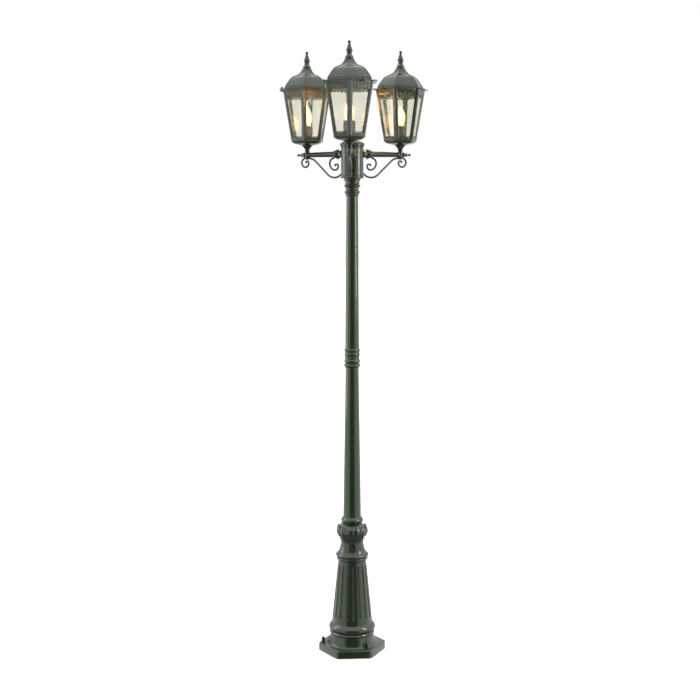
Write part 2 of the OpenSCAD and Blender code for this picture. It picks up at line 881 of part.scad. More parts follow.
// Outline of the candle-shaped glass, smaller by t all round
function bulb_outline(t) =
    let (z = holder_top(), r = bulb_d / 2, neck = cap_d / 2) concat(
        [for (k = [0:8]) let (a = k / 8)
            [neck - 0.6 + (r - neck + 0.6) * (1 - cos(180 * a)) / 2 - t, z + 0.38 * bulb_h * a]],
        [for (k = [1:11]) let (a = k / 12)
            [max(0.4, r * cos(90 * pow(a, 1.15)) - t), z + bulb_h * (0.38 + 0.62 * a)]],
        [[0.3, z + bulb_h - t]]);

module lamp_glass(i) {
    color(GLASS)
        on_lantern(i)
            difference() {
                turned(bulb_outline(0));
                turned(bulb_outline(glass_wall));
            }
}

// ---- roofs ----------------------------------------------------------------------------------

// Corner radius of the roof against its height, from the eave (0) to the finial's seat (1)
ROOF_CURVE = [[0, 1], [0.12, 0.975], [0.22, 0.925], [0.32, 0.865], [0.42, 0.8], [0.52, 0.725],
    [0.6, 0.64], [0.65, 0.54], [0.7, 0.43], [0.78, 0.33], [0.88, 0.255], [1, 0.2]];

module roof_stack(inset) {
    for (k = [1:len(ROOF_CURVE) - 1]) {
        low = ROOF_CURVE[k - 1];
        high = ROOF_CURVE[k];
        translate([0, 0, eave_z + eave_t + roof_h * low[0] - inset])
            hex(roof_r * low[1] - inset, roof_r * high[1] - inset, roof_h * (high[0] - low[0]));
    }
}

module roof(i) {
    color(GREEN)
        on_lantern(i)
            difference() {
                union() {
                    translate([0, 0, eave_z])
                        cylinder(h = eave_t, r = eave_r, $fn = 6);
                    for (s = [-1, 1])
                        rotate([0, 0, 90 * s])
                            translate([stud_r, 0, eave_z])
                                cylinder(h = eave_t, r = ear_r);
                    roof_stack(0);
                }
                roof_stack(roof_wall);
                translate([0, 0, eave_z - over])
                    cylinder(h = eave_t + 2 * over, r = roof_r - roof_wall, $fn = 6);
                for (s = [-1, 1])
                    rotate([0, 0, 90 * s])
                        translate([stud_r, 0, eave_z - over])
                            cylinder(h = eave_t + 2 * over, d = stud_d + 1.6, $fn = 24);
            }
}

module finial(i) {
    s = finial_h / 63;
    z = eave_z + eave_t + roof_h;
    color(GREEN)
        on_lantern(i)
            turned(concat(
                [[roof_r * 0.19, z]],
                bead(14, z + 1, 12.5, z + 11 * s, 1.5, 5),
                sweep(11.5, z + 12 * s, 8.5, z + 20 * s, 0.5, 4),
                bead(9, z + 23 * s, 10.5, z + 33 * s, 1.2, 5),
                [[10.5, z + 33.5 * s], [6.2, z + 44 * s], [4.6, z + 50 * s], [3.6, z + 52 * s]],
                [for (a = [-60:20:80]) [5.5 * cos(a), z + finial_h - 5.5 + 5.5 * sin(a)]],
                [[0.3, z + finial_h]]));
}

module roof_nuts(i) {
    bore = stud_up + 1;
    color(GREEN)
        on_lantern(i)
            for (s = [-1, 1])
                rotate([0, 0, 90 * s])
                    translate([stud_r, 0, eave_z + eave_t])
                        difference() {
                            union() {
                                cylinder(h = 7, d = roof_nut_d);
                                translate([0, 0, 7])
                                    sphere(d = roof_nut_d - 1);
                            }
                            translate([0, 0, -over])
                                cylinder(h = bore + over, d = stud_d + 2 * face_gap, $fn = 24);
                        }
}

// ---- nodes ----------------------------------------------------------------------------------

base_plate();
base_body();
base_capital();
lower_pole();
mid_joint();
upper_pole();
top_joint();
hub_body();
hub_cap();
cap_knob();
hub_screws();
arm_collars();
arm_end_balls();
terminal_block();
lamp_leads();
earth_cap();
for (i = [0:2]) {
    arm(i);
    bracket(i);
    stem(i);
    stem_nut(i);
    bowl(i);
    ribs(i);
    panes(i);
    valance(i);
    lampholder(i);
    lamp_cap(i);
    lamp_glass(i);
    roof(i);
    finial(i);
    roof_nuts(i);
}
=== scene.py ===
"""Looks of a lamp post with three six-sided lanterns on scroll-braced arms.

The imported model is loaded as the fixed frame. Each casting, pane and lamp is then built around it
as a finer mesh with its own finish. Sizes are in millimetres, and meshes are cast in metres.
"""

import json
import logging
import math
from collections.abc import Callable, Sequence
from dataclasses import dataclass, field
from enum import Enum
from math import cos, radians, sin

import bmesh
import bpy
from mathutils import Matrix, Vector

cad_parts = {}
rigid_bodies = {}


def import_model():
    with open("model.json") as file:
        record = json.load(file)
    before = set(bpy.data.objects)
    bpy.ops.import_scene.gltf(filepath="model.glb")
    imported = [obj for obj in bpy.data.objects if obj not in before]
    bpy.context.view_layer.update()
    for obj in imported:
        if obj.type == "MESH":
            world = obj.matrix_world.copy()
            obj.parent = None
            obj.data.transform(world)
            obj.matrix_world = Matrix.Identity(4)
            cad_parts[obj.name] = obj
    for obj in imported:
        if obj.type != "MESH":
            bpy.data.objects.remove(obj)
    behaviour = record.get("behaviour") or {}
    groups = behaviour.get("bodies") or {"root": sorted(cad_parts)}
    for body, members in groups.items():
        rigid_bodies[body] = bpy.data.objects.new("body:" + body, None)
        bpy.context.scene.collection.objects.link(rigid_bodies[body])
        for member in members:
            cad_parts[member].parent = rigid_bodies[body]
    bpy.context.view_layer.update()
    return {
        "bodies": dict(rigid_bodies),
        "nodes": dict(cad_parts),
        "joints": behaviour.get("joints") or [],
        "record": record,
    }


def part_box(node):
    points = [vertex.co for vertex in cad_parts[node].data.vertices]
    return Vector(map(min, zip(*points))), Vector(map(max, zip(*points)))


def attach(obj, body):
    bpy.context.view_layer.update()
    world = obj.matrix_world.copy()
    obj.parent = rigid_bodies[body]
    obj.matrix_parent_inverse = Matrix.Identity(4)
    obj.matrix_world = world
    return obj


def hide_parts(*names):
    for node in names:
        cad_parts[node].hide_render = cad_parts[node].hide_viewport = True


LOG = logging.getLogger("lamp_post")
MM = 0.001
TAU = 2.0 * math.pi
COS30 = cos(radians(30.0))
SHARP = 38.0
NUT_R = 6.0

Colour = tuple[float, float, float, float]
Outline = list[tuple[float, float]]
Remap = Callable[[float, float, float], tuple[float, float, float]]
Piece = bpy.types.Object
Socket = bpy.types.NodeSocket


class Side(Enum):
    """The three arms, by where they point."""

    FRONT = "front"
    LEFT = "left"
    RIGHT = "right"


class Slot(Enum):
    """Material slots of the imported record."""

    PAINT = "green_paint"
    PANE = "pane_glass"
    LAMP = "lamp_glass"
    BRASS = "lamp_brass"
    BLACK = "black_plastic"
    IVORY = "ivory_plastic"
    SHEATH = "lead_sheath"


# ---- outlines ----


def bead(r0: float, z0: float, r1: float, z1: float, swell: float, steps: int = 14) -> Outline:
    """Gives a half-round bead between two heights.

    Args:
        r0: Radius at the lower end.
        z0: Height of the lower end.
        r1: Radius at the upper end.
        z1: Height of the upper end.
        swell: How far the bead stands proud at its middle.
        steps: Number of straight pieces.

    Returns:
        Points of radius and height, from bottom to top.
    """
    run = [k / steps for k in range(steps + 1)]
    return [(r0 + (r1 - r0) * t + swell * sin(math.pi * t), z0 + (z1 - z0) * t) for t in run]


def cove(r0: float, z0: float, r1: float, z1: float, power: float, steps: int = 14) -> Outline:
    """Gives a hollow or rounded sweep between two heights.

    Args:
        r0: Radius at the lower end.
        z0: Height of the lower end.
        r1: Radius at the upper end.
        z1: Height of the upper end.
        power: Over 1 hugs the first radius, under 1 leaves it at once.
        steps: Number of straight pieces.

    Returns:
        Points of radius and height, from bottom to top.
    """
    run = [k / steps for k in range(steps + 1)]
    return [(r0 + (r1 - r0) * t**power, z0 + (z1 - z0) * t) for t in run]


def dome(radius: float, z: float, start: float, stop: float, steps: int,
         aside: float = 0.0) -> Outline:
    """Gives part of the outline of a ball.

    Args:
        radius: Radius of the ball.
        z: Height of its middle.
        start: Angle of the first point over the level, in degrees.
        stop: Angle of the last point, in degrees.
        steps: Number of straight pieces.
        aside: Distance of its middle from the axis.

    Returns:
        Points of radius and height, from bottom to top.
    """
    turn = [radians(start + (stop - start) * k / steps) for k in range(steps + 1)]
    return [(aside + radius * cos(a), z + radius * sin(a)) for a in turn]


def eased(points: Outline, radius: float, steps: int = 3, closed: bool = False) -> Outline:
    """Rounds the corners of a line of points.

    Args:
        points: The line.
        radius: Distance from a corner at which its rounding starts.
        steps: Straight pieces in each rounding.
        closed: Whether the line is a loop.

    Returns:
        The line with its sharp corners rounded.
    """
    made: Outline = []
    for i, point in enumerate(points):
        here = Vector(point)
        before = Vector(points[i - 1]) - here
        after = Vector(points[(i + 1) % len(points)]) - here
        is_end = not closed and i in (0, len(points) - 1)
        if is_end or min(before.length, after.length) < 1e-6:
            made.append(tuple(here))
            continue
        if math.pi - before.angle(after) < radians(20.0):
            made.append(tuple(here))
            continue
        a = here + before.normalized() * min(radius, before.length * 0.45)
        b = here + after.normalized() * min(radius, after.length * 0.45)
        for k in range(steps + 1):
            t = k / steps
            made.append(tuple(a * (1 - t) ** 2 + here * 2 * t * (1 - t) + b * t * t))
    return made


def hollow(outer: Outline, inner: Outline) -> Outline:
    """Joins an outer and an inner line, both from bottom to top, into the loop of a hollow body."""
    return outer + inner[::-1]


def smoothed(points: Sequence[Sequence[float]], steps: int = 5) -> Outline:
    """Draws a smooth curve through points.

    Args:
        points: The points that the curve passes through.
        steps: Number of straight pieces between two points.

    Returns:
        The finer line.
    """
    line = [Vector(p) for p in points]
    made: Outline = []
    for i in range(len(line) - 1):
        p0, p1, p2 = line[max(i - 1, 0)], line[i], line[i + 1]
        p3 = line[min(i + 2, len(line) - 1)]
        for k in range(steps):
            t = k / steps
            q = 0.5 * (2 * p1 + (p2 - p0) * t + (2 * p0 - 5 * p1 + 4 * p2 - p3) * t * t
                       + (3 * p1 - p0 - 3 * p2 + p3) * t**3)
            made.append(tuple(q))
    made.append(tuple(line[-1]))
    return made


def ring_loop(x: float, y: float, radius: float, steps: int = 20) -> Outline:
    """Gives a round loop about a point."""
    turn = [TAU * k / steps for k in range(steps)]
    return [(x + radius * cos(a), y + radius * sin(a)) for a in turn]


def drop_loop(x: float, y: float, radius: float, length: float, lean: float) -> Outline:
    """Gives a teardrop loop.

    Args:
        x: Place of its round end's centre across the plate.
        y: Place of its round end's centre up the plate.
        radius: Radius of the round end.
        length: Distance from that centre to the point.
        lean: Direction of the point, in degrees.

    Returns:
        The loop's points.
    """
    turn = Matrix.Rotation(radians(lean), 2)
    open_angle = math.acos(min(1.0, radius / length))
    steps = 12
    arc = [open_angle + (TAU - 2 * open_angle) * k / steps for k in range(steps + 1)]
    local = [Vector((length, 0.0))]
    local += [Vector((radius * cos(a), radius * sin(a))) for a in arc]
    return [(x + (turn @ p).x, y + (turn @ p).y) for p in local]


def bent(steps: Sequence[tuple[float, float]], start: Vector, heading: float) -> list[Vector]:
    """Follows a bent rod of arcs and straight runs in one plane.

    Args:
        steps: Radius and turn in degrees of each arc, or zero and the length of a straight run.
        start: First point of the rod.
        heading: Its first direction, in degrees.

    Returns:
        Points along the rod, without the first.
    """
    made: list[Vector] = []
    here, angle = start.copy(), radians(heading)
    for radius, turn in steps:
        if radius == 0:
            here = here + turn * Vector((cos(angle), sin(angle)))
            made.append(here)
            continue
        way = math.copysign(1.0, turn)
        centre = here + way * radius * Vector((-sin(angle), cos(angle)))
        pieces = max(2, math.ceil(abs(turn) / 7.0))
        for k in range(1, pieces + 1):
            a = angle + radians(turn) * k / pieces
            made.append(centre + way * radius * Vector((sin(a), -cos(a))))
        here, angle = made[-1], angle + radians(turn)
    return made


# ---- mould ----


def placed(name: str, data: bpy.types.ID) -> Piece:
    """Puts a new object with the given data into the scene."""
    made = bpy.data.objects.new(name, data)
    bpy.context.scene.collection.objects.link(made)
    return made


def hex_ring(radius: float, z: float, corner: float, steps: int = 3) -> list[Vector]:
    """Gives a level six-sided ring with a corner on +X and its corners rounded.

    Args:
        radius: Corner radius.
        z: Height.
        corner: Distance from a corner at which its rounding starts.
        steps: Straight pieces in each rounding.

    Returns:
        The ring's points.
    """
    tips = [Vector((radius * cos(TAU * k / 6), radius * sin(TAU * k / 6), z))
            for k in range(6)]
    reach = min(corner, radius * 0.4) / radius
    points = []
    for k, tip in enumerate(tips):
        a, b = tip.lerp(tips[k - 1], reach), tip.lerp(tips[(k + 1) % 6], reach)
        for s in range(steps + 1):
            t = s / steps
            points.append(a * (1 - t) ** 2 + tip * 2 * t * (1 - t) + b * t * t)
    return points


class Mould:
    """Collects closed shells in millimetres and casts them as one piece in metres."""

    def __init__(self, place: Matrix | None = None) -> None:
        """Starts an empty mould.

        Args:
            place: Frame in which its shells are given.
        """
        self.place = place or Matrix()
        self.verts: list[Vector] = []
        self.faces: list[list[int]] = []

    def skin(self, rings: Sequence[Sequence[Vector]], place: Matrix | None = None,
             closed: bool = False) -> None:
        """Adds a shell through a row of rings.

        Args:
            rings: Rings with the same number of points.
            place: Frame of the rings in the mould.
            closed: Whether the last ring joins the first, instead of both being capped.
        """
        matrix = self.place @ (place or Matrix())
        base, count = len(self.verts), len(rings[0])
        for ring in rings:
            self.verts.extend(matrix @ p for p in ring)
        for i in range(len(rings) if closed else len(rings) - 1):
            a, b = base + i * count, base + (i + 1) % len(rings) * count
            for k in range(count):
                m = (k + 1) % count
                self.faces.append([a + k, a + m, b + m, b + k])
        if not closed:
            self.faces.append([base + k for k in reversed(range(count))])
            self.faces.append([base + (len(rings) - 1) * count + k for k in range(count)])

    def turn(self, outline: Outline, segments: int = 72, place: Matrix | None = None,
             closed: bool = False, remap: Remap | None = None) -> None:
        """Adds a turned shell about the Z axis.

        Args:
            outline: Points of radius and height.
            segments: Number of points round the axis.
            place: Frame of the shell in the mould.
            closed: Whether the outline is a loop, as of a hollow body.
            remap: Moves a point of given angle, radius and height, for flutes and petals.
        """
        rings = []
        for r, z in outline:
            ring = []
            for k in range(segments):
                a, q, h = TAU * k / segments, max(r, 0.05), z
                if remap:
                    a, q, h = remap(a, q, h)
                ring.append(Vector((q * cos(a), q * sin(a), h)))
            rings.append(ring)
        self.skin(rings, place, closed)

    def hexed(self, outline: Outline, corner: float, place: Matrix | None = None,
              closed: bool = False) -> None:
        """Adds a six-sided shell about the Z axis.

        Args:
            outline: Points of corner radius and height.
            corner: Distance from a corner at which its rounding starts.
            place: Frame of the shell in the mould.
            closed: Whether the outline is a loop, as of a hollow body.
        """
        self.skin([hex_ring(r, z, corner) for r, z in outline], place, closed)

    def rod(self, route: Sequence[Vector], radius: float | Sequence[float], sides: int = 14,
            place: Matrix | None = None) -> None:
        """Adds a round bar along a route.

        Args:
            route: Points along the bar's middle.
            radius: Its radius, or one radius for each point.
            sides: Number of points round it.
            place: Frame of the route in the mould.
        """
        sizes = radius if isinstance(radius, Sequence) else [radius] * len(route)
        rings, aside = [], None
        for i, point in enumerate(route):
            way = (route[min(i + 1, len(route) - 1)] - route[max(i - 1, 0)]).normalized()
            aside = way.orthogonal() if aside is None else aside
            aside = (aside - way * aside.dot(way)).normalized()
            other = way.cross(aside)
            rings.append([point + sizes[i] * (cos(TAU * k / sides) * aside
                                              + sin(TAU * k / sides) * other)
                          for k in range(sides)])
        self.skin(rings, place)

    def ball(self, centre: Vector, radius: float, segments: int = 28) -> None:
        """Adds a ball about a point."""
        self.turn(dome(radius, 0.0, -88, 88, 14), segments, Matrix.Translation(centre))

    def pierced(self, loops: Sequence[Outline], thickness: float, edge: float,
                place: Matrix) -> None:
        """Adds a flat plate with pierced holes and eased edges.

        Args:
            loops: The outer loop, then its holes.
            thickness: Thickness of the plate.
            edge: Size of its eased edges.
            place: Frame of the plate's middle in the mould, with Z across its thickness.
        """
        curve = bpy.data.curves.new("loops", "CURVE")
        curve.dimensions = "2D"
        curve.fill_mode = "BOTH"
        curve.extrude = thickness / 2 - edge
        curve.bevel_depth = edge
        curve.bevel_resolution = 1
        curve.offset = -edge
        for loop in loops:
            spline = curve.splines.new("POLY")
            spline.points.add(len(loop) - 1)
            for point, (x, y) in zip(spline.points, loop):
                point.co = (x, y, 0.0, 1.0)
            spline.use_cyclic_u = True
        holder = bpy.data.objects.new("loops", curve)
        mesh = bpy.data.meshes.new_from_object(holder)
        base, matrix = len(self.verts), self.place @ place
        self.verts.extend(matrix @ v.co for v in mesh.vertices)
        self.faces.extend([base + i for i in p.vertices] for p in mesh.polygons)
        bpy.data.objects.remove(holder)
        bpy.data.curves.remove(curve)
        bpy.data.meshes.remove(mesh)

    def cast(self, name: str, bevel: float = 0.0) -> Piece:
        """Makes the piece from the shells.

        Args:
            name: Name of the piece.
            bevel: Size of the bevel on its sharp edges, in millimetres.

        Returns:
            The new object, at the origin of the row frame.
        """
        form = bmesh.new()
        points = [form.verts.new(v * MM) for v in self.verts]
        for face in self.faces:
            form.faces.new([points[i] for i in face])
        bmesh.ops.remove_doubles(form, verts=form.verts, dist=2e-6)
        bmesh.ops.recalc_face_normals(form, faces=form.faces)
        if bevel:
            hard = [e for e in form.edges if len(e.link_faces) == 2
                    and e.calc_face_angle(0.0) > radians(SHARP)]
            bmesh.ops.bevel(form, geom=hard, offset=bevel * MM, segments=3, profile=0.6,
                            affect="EDGES", clamp_overlap=True)
        mesh = bpy.data.meshes.new(name)
        form.to_mesh(mesh)
        form.free()
        return shaded(placed(name, mesh))


def shaded(piece: Piece) -> Piece:
    """Shades a piece smooth, with its sharp edges kept sharp."""
    piece.data.shade_smooth()
    piece.data.set_sharp_from_angle(angle=radians(SHARP))
    return piece


def carved(piece: Piece, tool: Mould) -> Piece:
    """Cuts shells out of a piece.

    Args:
        piece: The piece to cut.
        tool: Mould that holds the shells to take away.

    Returns:
        The piece, with a new mesh.
    """
    cutter = tool.cast("cutter")
    step = piece.modifiers.new("cut", "BOOLEAN")
    step.operation = "DIFFERENCE"
    step.solver = "EXACT"
    step.object = cutter
    graph = bpy.context.evaluated_depsgraph_get()
    mesh = bpy.data.meshes.new_from_object(piece.evaluated_get(graph))
    piece.modifiers.clear()
    piece.data = mesh
    mesh.name = piece.name
    bpy.data.objects.remove(cutter)
    return shaded(piece)


# ---- shader effects ----


class Net:
    """Adds and wires the nodes of one tree."""

    def __init__(self, tree: bpy.types.NodeTree) -> None:
        """Starts with an empty tree."""
        self.tree = tree
        tree.nodes.clear()

    def add(self, kind: str, inputs: dict[str, object] | None = None,
            **settings: object) -> bpy.types.Node:
        """Adds a node.

        Args:
            kind: Node type, without its ShaderNode prefix.
            inputs: Values or other nodes' sockets, by the name of the input.
            **settings: Properties of the node.

        Returns:
            The new node.
        """
        made = self.tree.nodes.new("ShaderNode" + kind)
        for key, value in settings.items():
            setattr(made, key, value)
        for key, value in (inputs or {}).items():
            socket = next(s for s in made.inputs if s.enabled and s.name == key)
            if isinstance(value, Socket):
                self.tree.links.new(value, socket)
            else:
                socket.default_value = value
        return made

    def math(self, operation: str, a: object, b: object = 0.0, clamp: bool = False) -> Socket:
        """Adds a math node and gives its result."""
        made = self.tree.nodes.new("ShaderNodeMath")
        made.operation = operation
        made.use_clamp = clamp
        for socket, value in zip(made.inputs, (a, b)):
            if isinstance(value, Socket):
                self.tree.links.new(value, socket)
            else:
                socket.default_value = value
        return made.outputs[0]

    def ramp(self, value: Socket, low: float, high: float, to_low: float = 0.0,
             to_high: float = 1.0) -> Socket:
        """Maps a value from one range to another, smoothly and clamped."""
        made = self.add("MapRange", {"Value": value, "From Min": low, "From Max": high,
                                     "To Min": to_low, "To Max": to_high},
                        interpolation_type="SMOOTHSTEP")
        return made.outputs["Result"]

    def between(self, factor: Socket, a: object, b: object) -> Socket:
        """Gives a value between a at no factor and b at a whole one."""
        return self.math("ADD", self.math("MULTIPLY", a, self.math("SUBTRACT", 1.0, factor)),
                         self.math("MULTIPLY", factor, b))

    def mix(self, factor: object, a: object, b: object, mode: str = "MIX") -> Socket:
        """Mixes two colours and gives the result."""
        made = self.add("Mix", {"Factor": factor, "A": a, "B": b}, data_type="RGBA",
                        blend_type=mode)
        return next(s for s in made.outputs if s.enabled)

    def surface(self, **inputs: object) -> Socket:
        """Adds the main shader and gives it.

        Args:
            **inputs: Values or sockets of its inputs, with _ in their names for spaces.

        Returns:
            The shader's socket.
        """
        named = {key.replace("_", " "): value for key, value in inputs.items()}
        return self.add("BsdfPrincipled", named).outputs["BSDF"]

    def blended(self, factor: Socket, none: Socket, full: Socket) -> Socket:
        """Mixes two shaders and gives the result."""
        made = self.add("MixShader")
        for socket, value in zip(made.inputs, (factor, none, full)):
            self.tree.links.new(value, socket)
        return made.outputs["Shader"]

    def bump(self, height: Socket, depth: float, strength: float) -> Socket:
        """Adds a bump of a depth in metres and gives its normal."""
        return self.add("Bump", {"Height": height, "Distance": depth,
                                 "Strength": strength}).outputs["Normal"]

    def noise(self, scale: object, detail: float = 2.0, stretch: Sequence[float] = (1, 1, 1),
              roughness: float = 0.5) -> Socket:
        """Adds noise that is fixed to the piece and gives its value.

        Args:
            scale: Number of features in a metre.
            detail: Number of finer layers.
            stretch: Scale along each axis, on top of scale.
            roughness: Strength of the finer layers.

        Returns:
            The value socket.
        """
        place = self.add("TexCoord").outputs["Object"]
        place = self.add("Mapping", {"Vector": place, "Scale": tuple(stretch)}).outputs["Vector"]
        return self.add("TexNoise", {"Vector": place, "Scale": scale, "Detail": detail,
                                     "Roughness": roughness}).outputs["Fac"]


@dataclass(frozen=True)
class Effect:
    """A shader effect that finishes share, kept as one node group.

    Attributes:
        name: Name of the group.
        takes: Name, socket kind and default of each input.
        gives: Name and socket kind of each output.
        wire: Wires the group from its inputs and gives its outputs.
    """

    name: str
    takes: tuple[tuple[str, str, object], ...]
    gives: tuple[tuple[str, str], ...]
    wire: Callable[[Net, dict[str, Socket]], dict[str, Socket]]

    def group(self) -> bpy.types.NodeTree:
        """Gives the node group, and builds it the first time."""
        found = bpy.data.node_groups.get(self.name)
        if found:
            return found
        tree = bpy.data.node_groups.new(self.name, "ShaderNodeTree")
        net = Net(tree)
        for name, kind, value in self.takes:
            socket = tree.interface.new_socket(name, in_out="INPUT", socket_type=kind)
            socket.default_value = value
        for name, kind in self.gives:
            tree.interface.new_socket(name, in_out="OUTPUT", socket_type=kind)
        given = tree.nodes.new("NodeGroupInput")
        result = tree.nodes.new("NodeGroupOutput")
        made = self.wire(net, {name: given.outputs[name] for name, _, _ in self.takes})
        for name, socket in made.items():
            tree.links.new(socket, result.inputs[name])
        return tree

    def on(self, net: Net, **inputs: object) -> dict[str, Socket]:
        """Places the effect in a material.

        Args:
            net: The material's net.
            **inputs: Values or sockets for the effect's inputs.

        Returns:
            The effect's outputs by name.
        """
        node = net.tree.nodes.new("ShaderNodeGroup")
        node.node_tree = self.group()
        for key, value in inputs.items():
            if isinstance(value, Socket):
                net.tree.links.new(value, node.inputs[key])
            else:
                node.inputs[key].default_value = value
        return {name: node.outputs[name] for name, _ in self.gives}


def wire_cast_skin(net: Net, given: dict[str, Socket]) -> dict[str, Socket]:
    """Wires the fine skin of a sand casting under paint, with slow and quick unevenness."""
    fine = net.noise(given["Scale"], detail=3.0, roughness=0.55)
    broad = net.noise(net.math("MULTIPLY", given["Scale"], 0.11), detail=2.0)
    height = net.math("ADD", net.math("MULTIPLY", fine, 0.35), net.math("MULTIPLY", broad, 1.0))
    return {"Height": height, "Mottle": net.ramp(broad, 0.3, 0.7)}


def wire_colour_drift(net: Net, given: dict[str, Socket]) -> dict[str, Socket]:
    """Wires slow changes of a colour between itself and a deeper shade."""
    drift = net.ramp(net.noise(given["Scale"], detail=4.0, roughness=0.6), 0.32, 0.68)
    deep = net.mix(given["Spread"], given["Colour"], (0.0, 0.0, 0.0, 1.0))
    return {"Colour": net.mix(drift, deep, given["Colour"]), "Drift": drift}


def wire_edge_wear(net: Net, given: dict[str, Socket]) -> dict[str, Socket]:
    """Wires a mask of edges where paint has thinned, broken up by noise."""
    edge = net.ramp(net.add("NewGeometry").outputs["Pointiness"], 0.53, 0.6)
    patch = net.ramp(net.noise(230.0, detail=4.0, roughness=0.65), 0.42, 0.62)
    return {"Mask": net.math("MULTIPLY", net.math("MULTIPLY", edge, patch), given["Amount"], True)}


def wire_settled_dust(net: Net, given: dict[str, Socket]) -> dict[str, Socket]:
    """Wires a mask of dust that lies on faces that look up."""
    normal = net.add("NewGeometry").outputs["Normal"]
    up = net.ramp(net.add("SeparateXYZ", {"Vector": normal}).outputs["Z"], 0.35, 1.0)
    patch = net.ramp(net.noise(55.0, detail=5.0, roughness=0.6), 0.35, 0.7, 0.25, 1.0)
    return {"Mask": net.math("MULTIPLY", net.math("MULTIPLY", up, patch), given["Amount"], True)}


def wire_drawn_lines(net: Net, given: dict[str, Socket]) -> dict[str, Socket]:
    """Wires the faint lines along a drawn tube that show through its paint."""
    lines = net.noise(given["Scale"], detail=3.0, stretch=(1.0, 1.0, 0.012), roughness=0.6)
    return {"Height": lines, "Lines": net.ramp(lines, 0.35, 0.65)}


def wire_glass_ripple(net: Net, given: dict[str, Socket]) -> dict[str, Socket]:
    """Wires the waves of drawn glass, with a few seeds in it."""
    wave = net.noise(given["Scale"], detail=1.0, stretch=(1.0, 1.0, 0.55))
    quick = net.noise(net.math("MULTIPLY", given["Scale"], 3.4), detail=1.0)
    place = net.add("TexCoord").outputs["Object"]
    seed = net.add("TexVoronoi", {"Vector": place, "Scale": 70.0}).outputs["Distance"]
    height = net.math("ADD", wave, net.math("MULTIPLY", quick, 0.22))
    height = net.math("ADD", height, net.ramp(seed, 0.0, 0.09, 0.10, 0.0))
    return {"Height": height, "Wave": net.ramp(wave, 0.3, 0.7)}


def wire_plastic_grain(net: Net, given: dict[str, Socket]) -> dict[str, Socket]:
    """Wires the fine spark-eroded grain of moulded plastic and its handled patches."""
    place = net.add("TexCoord").outputs["Object"]
    cell = net.add("TexVoronoi", {"Vector": place, "Scale": given["Scale"]}).outputs["Distance"]
    patch = net.noise(90.0, detail=3.0)
    return {"Height": cell, "Mottle": net.ramp(patch, 0.3, 0.7)}


NUMBER, TINT = "NodeSocketFloat", "NodeSocketColor"
CAST_SKIN = Effect("cast skin", (("Scale", NUMBER, 700.0),),
                   (("Height", NUMBER), ("Mottle", NUMBER)), wire_cast_skin)
COLOUR_DRIFT = Effect("colour drift", (("Colour", TINT, (0.5, 0.5, 0.5, 1.0)),
                                       ("Scale", NUMBER, 9.0), ("Spread", NUMBER, 0.2)),
                      (("Colour", TINT), ("Drift", NUMBER)), wire_colour_drift)
EDGE_WEAR = Effect("edge wear", (("Amount", NUMBER, 1.0),), (("Mask", NUMBER),), wire_edge_wear)
SETTLED_DUST = Effect("settled dust", (("Amount", NUMBER, 1.0),), (("Mask", NUMBER),),
                      wire_settled_dust)
DRAWN_LINES = Effect("drawn lines", (("Scale", NUMBER, 500.0),),
                     (("Height", NUMBER), ("Lines", NUMBER)), wire_drawn_lines)
GLASS_RIPPLE = Effect("glass ripple", (("Scale", NUMBER, 30.0),),
                      (("Height", NUMBER), ("Wave", NUMBER)), wire_glass_ripple)
PLASTIC_GRAIN = Effect("plastic grain", (("Scale", NUMBER, 1600.0),),
                       (("Height", NUMBER), ("Mottle", NUMBER)), wire_plastic_grain)


# ---- finishes ----


@dataclass(frozen=True)
class Finish:
    """A finish that pieces can be dressed in.

    Attributes:
        name: Name of its material.
        slot: The record's slot that it stands for, or None for the stage.
    """

    name: str
    slot: Slot | None

    def wire(self, net: Net) -> Socket:
        """Wires the material and gives its shader."""
        raise NotImplementedError

    def material(self) -> bpy.types.Material:
        """Gives the material, and makes it the first time."""
        found = bpy.data.materials.get(self.name)
        if found:
            return found
        made = bpy.data.materials.new(self.name)
        made.use_nodes = True
        net = Net(made.node_tree)
        out = net.add("OutputMaterial")
        net.tree.links.new(self.wire(net), out.inputs["Surface"])
        return made

    def dress(self, piece: Piece) -> None:
        """Puts the finish on every face of a piece."""
        piece.data.materials.clear()
        piece.data.materials.append(self.material())


